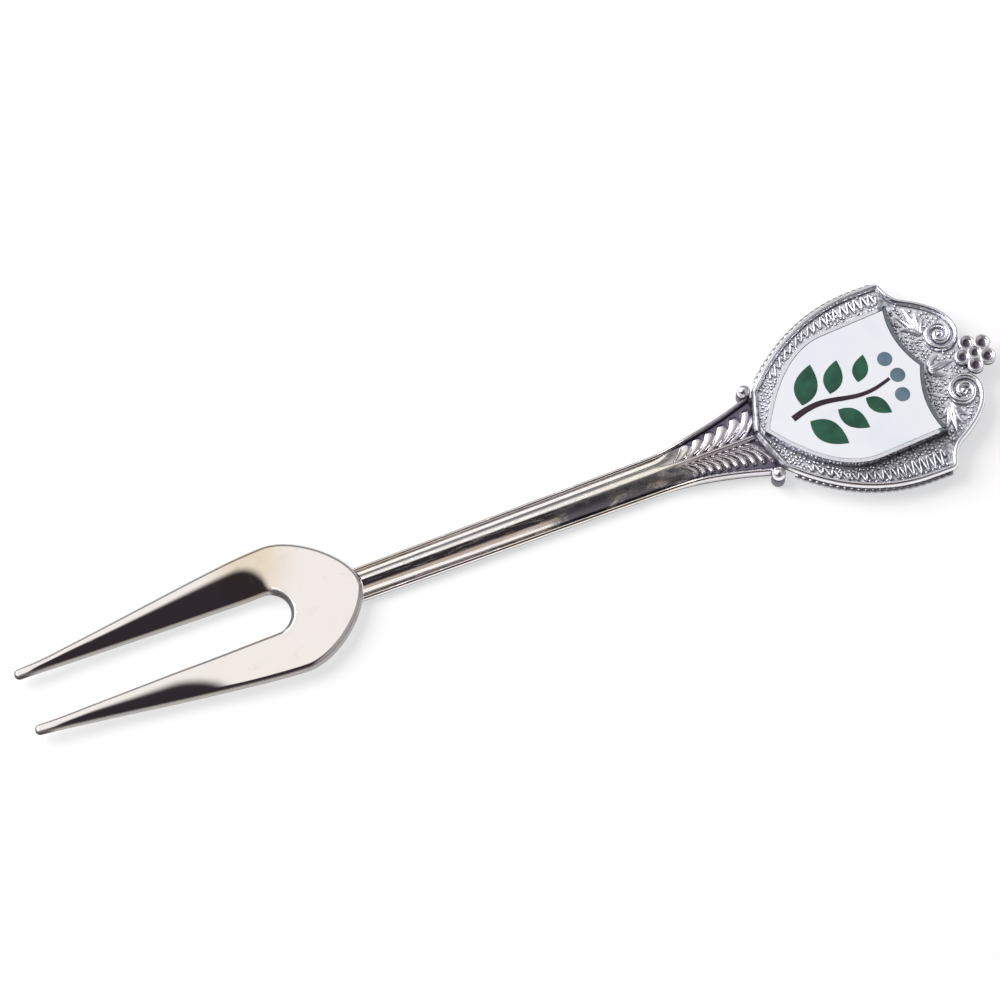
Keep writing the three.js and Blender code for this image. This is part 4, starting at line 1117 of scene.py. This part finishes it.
def tray_mask(tree):
    """Painted shade down the sides, and a painted dark reflection on the rim along the scooped end.
    """
    centre = (TIP_X + TOE_STATION + BADGE_STATION + BADGE_LENGTH / 2) * math.cos(BADGE_TURN)
    scoop = centre + BADGE_LENGTH / 2 - 2 * BADGE_SCOOP + BADGE_CUSP / 2
    along = split_place(tree, -BADGE_TURN)["X"]
    # A painted dark reflection along the rim at the scooped end.
    slate = add_zone(tree, along, *(scoop + x for x in TRAY_SCOOP), 0.0, TRAY_SCOOP_REFLECTION)
    # Painted shade down the sides.
    sides = height_mask(TRAY_BASE, *TRAY_SIDES)(tree)
    return add_math(tree, "MAXIMUM", slate, add_math(tree, "MULTIPLY", sides, TRAY_SIDE_SHADE))


tray_metal = struck_silver("tray_metal", tray_mask, tray_tints, tray_painted_dark, TRAY_GLOSS, TRAY_WEAR)
finish_piece(tray, tray_metal, "badge_metal", "badge_tray")

# Filigree wires.
# A fine half-round silver wire, bent into even waves and soldered to the plate, fills the outer
# part of the band between the border and the badge on each side.
FILIGREE_WIDTH = 0.34
FILIGREE_HEIGHT = 0.4
FILIGREE_SIDES = 8
FILIGREE_PITCH = 0.86
FILIGREE_STEPS = 20
FILIGREE_CLEARANCE = 0.1
FILIGREE_SHARE = 0.6
FILIGREE_LEAD = 2.6
FILIGREE_SETBACK = 0.9
FILIGREE_FOOT = (0.04, 0.3)
FILIGREE_SMOKE_AND_SHADOW = (-5, -9, 0.0, 0.5)
FILIGREE_GLOSS = (0.36, 0.52)


def reach_across(outline, x, side):
    """How far an outline reaches to one side at a station."""
    reach = 0.0
    for point, after in zip(outline, np.roll(outline, -1, axis=0)):
        if (point[0] <= x) != (after[0] <= x):
            y = mix(point[1], after[1], (x - point[0]) / (after[0] - point[0]))
            reach = max(reach, side * y)
    return reach


def filigree_mask(tree):
    """Dark down the sides of the wire, and on all of the right-hand band a smoky film of oxide
    with a painted shadow of the badge.
    """
    # The right-hand band is darkened by oxide and by a painted shadow of the badge.
    smoke_and_shadow = add_zone(tree, split_place(tree)["Y"], *FILIGREE_SMOKE_AND_SHADOW)
    return add_math(tree, "MAXIMUM", smoke_and_shadow, height_mask(PLATE_TOP, *FILIGREE_FOOT)(tree))


filigree_silver = struck_silver(
    "filigree_silver", filigree_mask, head_tints, head_dark, FILIGREE_GLOSS
)
rim_line = on_head(moved_out(whole_outline(head_half()), -WIRE_WIDTH))
start = TOE_STATION + TOE_DEPTH + FILIGREE_LEAD
end = TOE_STATION + EAR_STATION - FILIGREE_SETBACK
waves = round((end - start) / FILIGREE_PITCH)
spare = FILIGREE_WIDTH / 2 + FILIGREE_CLEARANCE
filigree_lines = []
for side, word in SIDES:
    bend = []
    for share in np.linspace(0, 1, waves * FILIGREE_STEPS + 1):
        x = mix(start, end, share)
        outside = reach_across(rim_line, x, side) - spare
        inside = mix(outside, reach_across(badge_line, x, side) + spare, FILIGREE_SHARE)
        bend.append((x, mix(inside, outside, (1 + math.sin(2 * math.pi * waves * share)) / 2)))
    filigree_lines.append(np.array(bend) * (1, side))
    name = f"filigree_wire_{word}"
    wire = lay_wire(f"{name}_smooth", bend, side, FILIGREE_WIDTH, FILIGREE_HEIGHT, FILIGREE_SIDES)
    finish_piece(wire, filigree_silver, "oxidised_silver", name)

# Crest leaves.
# Small chased leaves of silver, soldered on: a fan from the foot of each volute over the crest
# and a palmette between the fans.
CREST_LEAF_RISE = 0.46
CREST_LEAF_LOW = 0.45
CREST_LEAF_TIP = 0.03
CREST_LEAF_TAPER = 0.25
CREST_LEAF_BELLY = 0.75
CREST_LEAF_FULLNESS = 0.8
CREST_LEAF_SINK = 0.01
CREST_LEAF_STEPS, CREST_LEAF_ACROSS = 17, 13
VEIN_DEPTH = 0.16
VEIN_WIDTH = 0.2
CREST_FOOT = (0.02, 0.24)
CREST_GLOSS = (0.38, 0.54)
FAN_ROOT = (21.8, 4.3)
PALMETTE_ROOT = (21.0, 0.2)
# Each leaf's direction in degrees, length, width and bend in degrees.
FAN = (
    (58, 2.3, 0.95, -25), (80, 3.0, 1.0, -15), (101, 3.7, 1.05, 0),
    (122, 3.5, 1.0, 12), (146, 2.4, 0.9, 25),
)
PALMETTE = ((34, 2.2, 0.75, -30), (0, 3.0, 0.85, 0), (-34, 2.2, 0.75, 30))


def chased_leaf(name, root, turn, length, width, bend):
    """A pointed leaf with a grooved midrib, curved in plan; also gives its midline."""
    across = np.linspace(1, -1, CREST_LEAF_ACROSS)
    round_off = np.sqrt(np.clip(1 - across ** 2, 0, 1))
    groove = VEIN_DEPTH * np.exp(-((across / VEIN_WIDTH) ** 2))
    rows, spine = [], []
    point = np.array(root, float)
    for share in np.linspace(0, 1, CREST_LEAF_STEPS):
        angle = math.radians(turn + bend * (2 * share - 1))
        along = np.array([math.cos(angle), math.sin(angle)])
        belly = math.sin(math.pi * share ** CREST_LEAF_BELLY)
        half = width / 2 * belly ** CREST_LEAF_FULLNESS * (1 - CREST_LEAF_TAPER * share)
        spots = point + np.outer(across * (CREST_LEAF_TIP + half), (-along[1], along[0]))
        tall = CREST_LEAF_RISE * mix(CREST_LEAF_LOW, 1, belly)
        rise = np.maximum(tall * round_off - groove * math.sin(math.pi * share), 0.0)
        ring = [(x, y, PLATE_TOP - CREST_LEAF_SINK + z) for (x, y), z in zip(spots, rise)]
        rows.append([*ring, ring[0]])
        spine.append(point)
        point = point + along * length / (CREST_LEAF_STEPS - 1)
    return close_up(lay_grid(name, rows), fill=True), np.array(spine)


leaves = []
for side in (1, -1):
    root = on_head((FAN_ROOT[0], side * FAN_ROOT[1]))
    for turn, length, width, bend in FAN:
        leaves.append(chased_leaf("fan_leaf", root, side * turn, length, width, side * bend))
for shape in PALMETTE:
    leaves.append(chased_leaf("palmette_leaf", on_head(PALMETTE_ROOT), *shape))
crest = join_pieces([leaf for leaf, _ in leaves], "crest_leaves")
leaf_silver = struck_silver(
    "leaf_silver", height_mask(PLATE_TOP, *CREST_FOOT), head_tints, head_dark, CREST_GLOSS
)
finish_piece(crest, leaf_silver, "oxidised_silver")

# Granulation.
# Fine grains of silver fused onto the dull ground of the head, between the bends of the
# filigree and all over the crest; the pockets at the ears are left bare.
GRAIN_STEP = 0.46
GRAIN_ROW = 0.87
GRAIN_LEAD = 1
GRAIN_SIZE = 0.19
GRAIN_HEIGHT = 1.1
GRAIN_SIZES = (0.8, 1.25)
GRAIN_STEPS = (7, 2)
GRAIN_SCATTER = 0.1
GRAIN_SEED = 7
RIM_CLEARANCE = 0.1
FILIGREE_SPACE = 0.08
LEAF_SPACE = 0.42
POCKET_REACH = 0.8
POCKET_OFFSET = 8.6
GRAIN_FOOT = (0.02, 0.2)
GRAIN_GLOSS = (0.34, 0.5)


def inside_outline(places, outline):
    inside = np.zeros(len(places), bool)
    for a, b in zip(outline, np.roll(outline, -1, axis=0)):
        crosses = (a[1] > places[:, 1]) != (b[1] > places[:, 1])
        span = b[1] - a[1] if abs(b[1] - a[1]) > 1e-12 else 1e-12
        hit = a[0] + (places[:, 1] - a[1]) / span * (b[0] - a[0])
        inside ^= crosses & (places[:, 0] < hit)
    return inside


random = np.random.default_rng(GRAIN_SEED)
spots = []
first, last = TOE_STATION + GRAIN_LEAD, TOE_STATION + SHOULDER_STATION
for i, x in enumerate(np.arange(first, last, GRAIN_STEP * GRAIN_ROW)):
    for y in np.arange(-HEAD_WIDTH / 2, HEAD_WIDTH / 2, GRAIN_STEP):
        spots.append((x, y + (GRAIN_STEP / 2 if i % 2 else 0)))
spots = np.array(spots) + random.uniform(-GRAIN_SCATTER, GRAIN_SCATTER, (len(spots), 2))
keep = inside_outline(spots, on_head(moved_out(head_outline, -WIRE_WIDTH - RIM_CLEARANCE)))
keep &= ~inside_outline(spots, on_badge(moved_out(badge_outline(), RIM_CLEARANCE)))
spaces = [(line, FILIGREE_WIDTH / 2 + FILIGREE_SPACE) for line in filigree_lines]
spaces += [(path * (1, side), WIRE_WIDTH / 2 + RIM_CLEARANCE) for side in (1, -1)]
spaces += [(spine, LEAF_SPACE) for _, spine in leaves]
for line, space in spaces:
    keep &= distance_to_line(spots, line) > space
pocket = np.abs(spots[:, 0] - TOE_STATION - EAR_STATION) < POCKET_REACH
keep &= ~(pocket & (np.abs(spots[:, 1]) > POCKET_OFFSET))
spots = spots[keep]
sizes = random.uniform(*GRAIN_SIZES, len(spots))
model = dome("grain", -TIP_X, 0, 0, GRAIN_SIZE, GRAIN_SIZE * GRAIN_HEIGHT, *GRAIN_STEPS)
grains = []
for (x, y), size in zip(spots, sizes):
    grain = model.copy()
    grain.data = model.data.copy()
    bpy.context.collection.objects.link(grain)
    shift = Matrix.Translation(((TIP_X + x) * MM, y * MM, PLATE_TOP * MM))
    grain.data.transform(shift @ Matrix.Diagonal((size, size, size, 1)))
    grains.append(grain)
bpy.data.objects.remove(model)
grain_silver = struck_silver(
    "grain_silver", height_mask(PLATE_TOP, *GRAIN_FOOT), head_tints, head_dark, GRAIN_GLOSS
)
finish_piece(join_pieces(grains, "granulation"), grain_silver, "oxidised_silver")

# Flower finial.
# Five cupped petals round a cupped eye, cast in one and soldered to the tab of the plate. The
# cups hold the black of the oxidising dip.
PETAL_HEIGHT = 0.95
PETAL_EDGE = 0.95
PETAL_FOOT = (0.12, 0.2)
PETAL_CUP = 0.6
EYE_CUP = 0.5
CUP_DEPTH = 0.45
CUP_RINGS = (0.85, 0.6, 0.3)
CUP_FALL = 0.02
LIP_STEPS = 9
PETAL_SIDES = 24
PETAL_TOP = PLATE_TOP + PETAL_HEIGHT
FLOWER_CUPS = (-0.4, -0.16)
FLOWER_GLOSS = (0.3, 0.44)
cup_black = (0.11, 0.09, 0.125)


def petal(name, x, y, cup):
    lip = (PETAL_EDGE - cup) / 2
    profile = [(PETAL_EDGE - PETAL_FOOT[0], PLATE_TOP), (PETAL_EDGE, PLATE_TOP + PETAL_FOOT[1])]
    for turn in np.linspace(0, math.pi, LIP_STEPS):
        profile.append((cup + lip + lip * math.cos(turn), PETAL_TOP - lip + lip * math.sin(turn)))
    for share in CUP_RINGS:
        drop = CUP_DEPTH * math.sqrt(1 - share ** 2)
        profile.append((cup * share, min(PETAL_TOP - drop, profile[-1][1] - CUP_FALL)))
    return turn_up(name, TOE_STATION + x, y, profile, PETAL_SIDES)


petals = [petal("flower_eye", FLOWER_STATION, 0, EYE_CUP)]
for i in range(PETAL_COUNT):
    turn = 2 * math.pi / PETAL_COUNT * (i + 0.5)
    x = FLOWER_STATION + PETAL_RING * math.cos(turn)
    petals.append(petal("flower_petal", x, PETAL_RING * math.sin(turn), PETAL_CUP))
flower_silver = struck_silver(
    "flower_silver", height_mask(PETAL_TOP, *FLOWER_CUPS), head_tints, cup_black, FLOWER_GLOSS
)
flower = join_pieces(petals, "flower_finial_cast")
finish_piece(flower, flower_silver, "oxidised_silver", "flower_finial")

# Shoulder beads.
# A ball of silver soldered onto each pad where the border of the flare meets the head. Only its
# foot is dark.
BEAD_SINK = 0.3
BEAD_SEGMENTS, BEAD_RINGS = 24, 16
BEAD_FOOT = (0, 0.3)
BEAD_GLOSS = (0.27, 0.42)
BEAD_HEIGHT = PANEL_BORDER + BEAD_RADIUS - BEAD_SINK
bead_silver = struck_silver(
    "bead_silver", height_mask(PANEL_BORDER, *BEAD_FOOT), head_tints, head_dark, BEAD_GLOSS
)
for side, word in SIDES:
    centre = Vector((TIP_X + TOE_STATION + BEAD_STATION, side * BEAD_OFFSET, BEAD_HEIGHT)) * MM
    bead = add_primitive(
        f"shoulder_bead_{word}_ball", bpy.ops.mesh.primitive_uv_sphere_add,
        segments=BEAD_SEGMENTS, ring_count=BEAD_RINGS, radius=BEAD_RADIUS * MM, location=centre,
    )
    bpy.ops.object.transform_apply()
    cut_below(PANEL_BORDER * MM, TOUCHING)
    finish_piece(close_up(bead), bead_silver, "oxidised_silver", f"shoulder_bead_{word}")

# Enamel of the badge.
# White enamel fills the tray, with a sprig in coloured enamel on it: a brown twig, three pairs
# of green leaves and three slate berries, fired until the surface ran smooth.
ENAMEL_GAP = 0.06
ENAMEL_RISE = 0.04
ENAMEL_BREAK = 0.1
CELL_SINK = 0.01
CELL_BREAK = 0.03
CELL_SPACE = 0.15
TWIG_START = 3.4
TWIG_SWAY = 0.5
TWIG_WIDTH = 0.75
TWIG_STEPS = 33
LEAF_LENGTH = 5.0
LEAF_SHRINK = 0.82
LEAF_PAIRS = 3
LEAF_STATION = 5.0
LEAF_GAP = 0.8
LEAF_ANGLE = math.radians(55)
LEAF_BELLY = 0.4
LEAF_EDGE_STEPS = 17
BERRY_RADIUS = 0.85
BERRY_SETBACK = 2.4
BERRY_SPREAD = 2.3
BERRY_DROP = 0.5
BERRY_GAP = 1.0
BERRY_STEPS = 33
BERRY_STATION = BADGE_LENGTH - BERRY_SETBACK
LEAF_SPACING = (BERRY_STATION - BERRY_GAP - LEAF_STATION) / LEAF_PAIRS
LEAF_WIDTH = LEAF_SPACING - LEAF_GAP
LEAF_STALK = TWIG_SWAY + TWIG_WIDTH / 2 + CELL_SPACE
TWIG_END = BERRY_STATION - BERRY_RADIUS - CELL_SPACE
FILL_TOP = ENAMEL_TOP - ENAMEL_RISE
CLOUD_DETAIL = 3.0
CLOUD_RANGE = (0.35, 0.7)
PIT_NOISE = (3000.0, 2.0)
PIT_GLOSS = (0.3, 0.8, 0.06, 0.16)
WAVE_NOISE = (350.0, 2.0)
WAVE_BUMP = (0.15, 0.0001)
ENAMEL_SHINE = {"Specular IOR Level": 0.25, "Coat Weight": 0.15, "Coat Roughness": 0.05}
# Each enamel's pale and deep colour, and the scale of its clouds.
ENAMELS = {
    "white": ((0.86, 0.88, 0.93), (0.8, 0.83, 0.9), 160.0),
    "green": ((0.016, 0.105, 0.06), (0.008, 0.06, 0.036), 500.0),
    "brown": ((0.03, 0.014, 0.022), (0.015, 0.008, 0.014), 500.0),
    "slate": ((0.13, 0.2, 0.26), (0.09, 0.15, 0.2), 500.0),
}


def twig_outline():
    along = np.linspace(0, 1, TWIG_STEPS)
    sway = TWIG_SWAY * np.sin(2 * math.pi * along)
    middle = np.stack([mix(TWIG_START, TWIG_END, along), sway], 1)
    half = edge_normals(middle, False) * mix(TWIG_WIDTH, TWIG_WIDTH / 2, along)[:, None] / 2
    return np.concatenate([middle + half, (middle - half)[::-1]])


def leaf_outline(pair, side):
    length, width = LEAF_LENGTH * LEAF_SHRINK ** pair, LEAF_WIDTH * LEAF_SHRINK ** pair
    fine = np.linspace(0, 1, LEAF_EDGE_STEPS)[:-1]
    edge = [bezier([(0, 0), (length * LEAF_BELLY, -width), (length, 0)], fine)]
    edge.append(bezier([(length, 0), (length * LEAF_BELLY, width), (0, 0)], fine))
    stalk = (LEAF_STATION + pair * LEAF_SPACING, side * LEAF_STALK)
    return turned(np.concatenate(edge), side * LEAF_ANGLE) + stalk


def berry_outline(across):
    circle = arc(np.linspace(0, 2 * math.pi, BERRY_STEPS)[:-1]) * BERRY_RADIUS
    return circle + (BERRY_STATION - BERRY_DROP * abs(across), across * BERRY_SPREAD)


def fired_enamel(colour):
    """Glossy fired enamel, a little clouded and pitted."""
    pale, deep, cloud_scale = ENAMELS[colour]
    material, tree, shader = start_material(f"fired_{colour}_enamel")
    feed(tree, shader, ENAMEL_SHINE)
    place = object_place(tree)
    cloud = add_range(tree, add_noise(tree, place, cloud_scale, CLOUD_DETAIL), *CLOUD_RANGE)
    gloss = add_range(tree, add_noise(tree, place, *PIT_NOISE), *PIT_GLOSS)
    wave = add_noise(tree, place, *WAVE_NOISE)
    set_finish(tree, shader, add_mix(tree, cloud, pale, deep), gloss, wave, WAVE_BUMP)
    return material


enamels = {colour: fired_enamel(colour) for colour in ENAMELS}
fill_line = on_badge(moved_out(badge_outline(), -TRAY_WALL - ENAMEL_GAP))
white = raise_plate("white_enamel_fill", fill_line, ENAMEL_BASE, FILL_TOP, ENAMEL_BREAK)
finish_piece(white, enamels["white"], "white_enamel", "white_enamel")
cells = [("brown_twig", twig_outline(), "brown")]
for pair in range(LEAF_PAIRS):
    for side, word in SIDES:
        cells.append((f"green_leaf_{word}_{pair + 1}", leaf_outline(pair, side), "green"))
for across, word in ((-1, "right"), (0, "middle"), (1, "left")):
    cells.append((f"slate_berry_{word}", berry_outline(across), "slate"))
for name, outline, colour in cells:
    base = FILL_TOP - CELL_SINK
    cell = raise_plate(f"{name}_fill", on_badge(outline), base, ENAMEL_TOP, CELL_BREAK, 2)
    finish_piece(cell, enamels[colour], f"{colour}_enamel", name)

# Floor, light and camera.
# A plain white table top under a large soft window at the far left, in a room that is bright
# beyond the fork and dark on the near side; seen from above and from the right of the fork.
FLOOR_SIZE = 4
FLOOR_GAP = 0.02
FLOOR_ROUGHNESS = 0.9
FLOOR_GLOW = 0.63
WINDOW_SIZE = 0.75
WINDOW_POWER = 9.6
WINDOW_PLACE = (-0.5, 0.4, 0.62)
FAR_SIDE = (0.08, 0.25)
FAR_RISE = (0.43, 0.88)
NEAR_FALL = (0.42, 0.24)
CORNER_SIDE = (0.17, 0.27)
CORNER_FRONT = (0.14, 0.02)
CAMERA_AZIMUTH = math.radians(-21.26)
CAMERA_ELEVATION = math.radians(70)
CAMERA_DISTANCE = 600
CAMERA_SENSOR = 36
CAMERA_ZOOM = 5.4116
CAMERA_SHIFT = (-1.56, 3.36)
CAMERA_CLIP = (0.01, 10)
floor_grey = (0.42, 0.405, 0.39)
floor_white = (0.965, 0.98, 1.0)
far_low, far_high = (0.2, 0.2, 0.21), (0.95, 0.93, 0.915)
near_high, near_low = (0.03, 0.024, 0.03), (0.5, 0.42, 0.37)
corner_grey = (0.4, 0.38, 0.37)
white_sky = (1, 1, 1)

floor = add_primitive(
    "table_top", bpy.ops.mesh.primitive_plane_add, size=FLOOR_SIZE, location=(0, 0, -FLOOR_GAP * MM)
)
paper, tree, shader = start_material("white_table")
ray = add_node(tree, "ShaderNodeLightPath").outputs
rays = (ray["Is Camera Ray"], ray["Is Glossy Ray"], ray["Is Transmission Ray"])
glow = add_math(tree, "MULTIPLY", add_math(tree, "MAXIMUM", *rays), FLOOR_GLOW)
feed(tree, shader, {"Base Color": floor_grey, "Roughness": FLOOR_ROUGHNESS})
feed(tree, shader, {"Emission Color": floor_white, "Emission Strength": glow})
floor.data.materials.append(paper)

world = bpy.data.worlds.new("studio")
bpy.context.scene.world = world
world.use_nodes = True
tree = world.node_tree
place = add_node(tree, "ShaderNodeTexCoord").outputs["Generated"]
x, y, z = add_node(tree, "ShaderNodeSeparateXYZ", {"Vector": place}).outputs
beyond = add_mix(tree, add_range(tree, z, *FAR_RISE), far_low, far_high)
near = add_mix(tree, add_range(tree, z, *NEAR_FALL), near_high, near_low)
corner = add_math(
    tree, "MULTIPLY", add_range(tree, x, *CORNER_SIDE), add_range(tree, y, *CORNER_FRONT)
)
near = add_mix(tree, corner, near, corner_grey)
sky = add_mix(tree, add_range(tree, y, *FAR_SIDE), near, beyond)
camera_ray = add_node(tree, "ShaderNodeLightPath").outputs["Is Camera Ray"]
shown = add_mix(tree, camera_ray, sky, white_sky)
feed(tree, tree.nodes["Background"], {"Color": shown, "Strength": 1.0})

lamp = bpy.data.lights.new("soft_window", "AREA")
lamp.shape = "RECTANGLE"
lamp.size = lamp.size_y = WINDOW_SIZE
lamp.energy = WINDOW_POWER
window = bpy.data.objects.new("soft_window", lamp)
bpy.context.collection.objects.link(window)
window.location = WINDOW_PLACE
window.rotation_euler = (-window.location).to_track_quat("-Z", "Y").to_euler()

camera = bpy.data.cameras.new("camera")
camera.sensor_width = CAMERA_SENSOR
camera.lens = CAMERA_ZOOM * CAMERA_SENSOR
camera.clip_start, camera.clip_end = CAMERA_CLIP
viewer = bpy.data.objects.new("camera", camera)
bpy.context.collection.objects.link(viewer)
a, e = CAMERA_AZIMUTH, CAMERA_ELEVATION
back = Vector((math.sin(a) * math.cos(e), -math.cos(a) * math.cos(e), math.sin(e)))
right = Vector((math.cos(a), math.sin(a), 0))
up = back.cross(right)
viewer.location = (right * CAMERA_SHIFT[0] + up * CAMERA_SHIFT[1] + back * CAMERA_DISTANCE) * MM
viewer.rotation_euler = Matrix((right, up, back)).transposed().to_euler()
bpy.context.scene.camera = viewer
bpy.context.scene.view_settings.view_transform = "Standard"

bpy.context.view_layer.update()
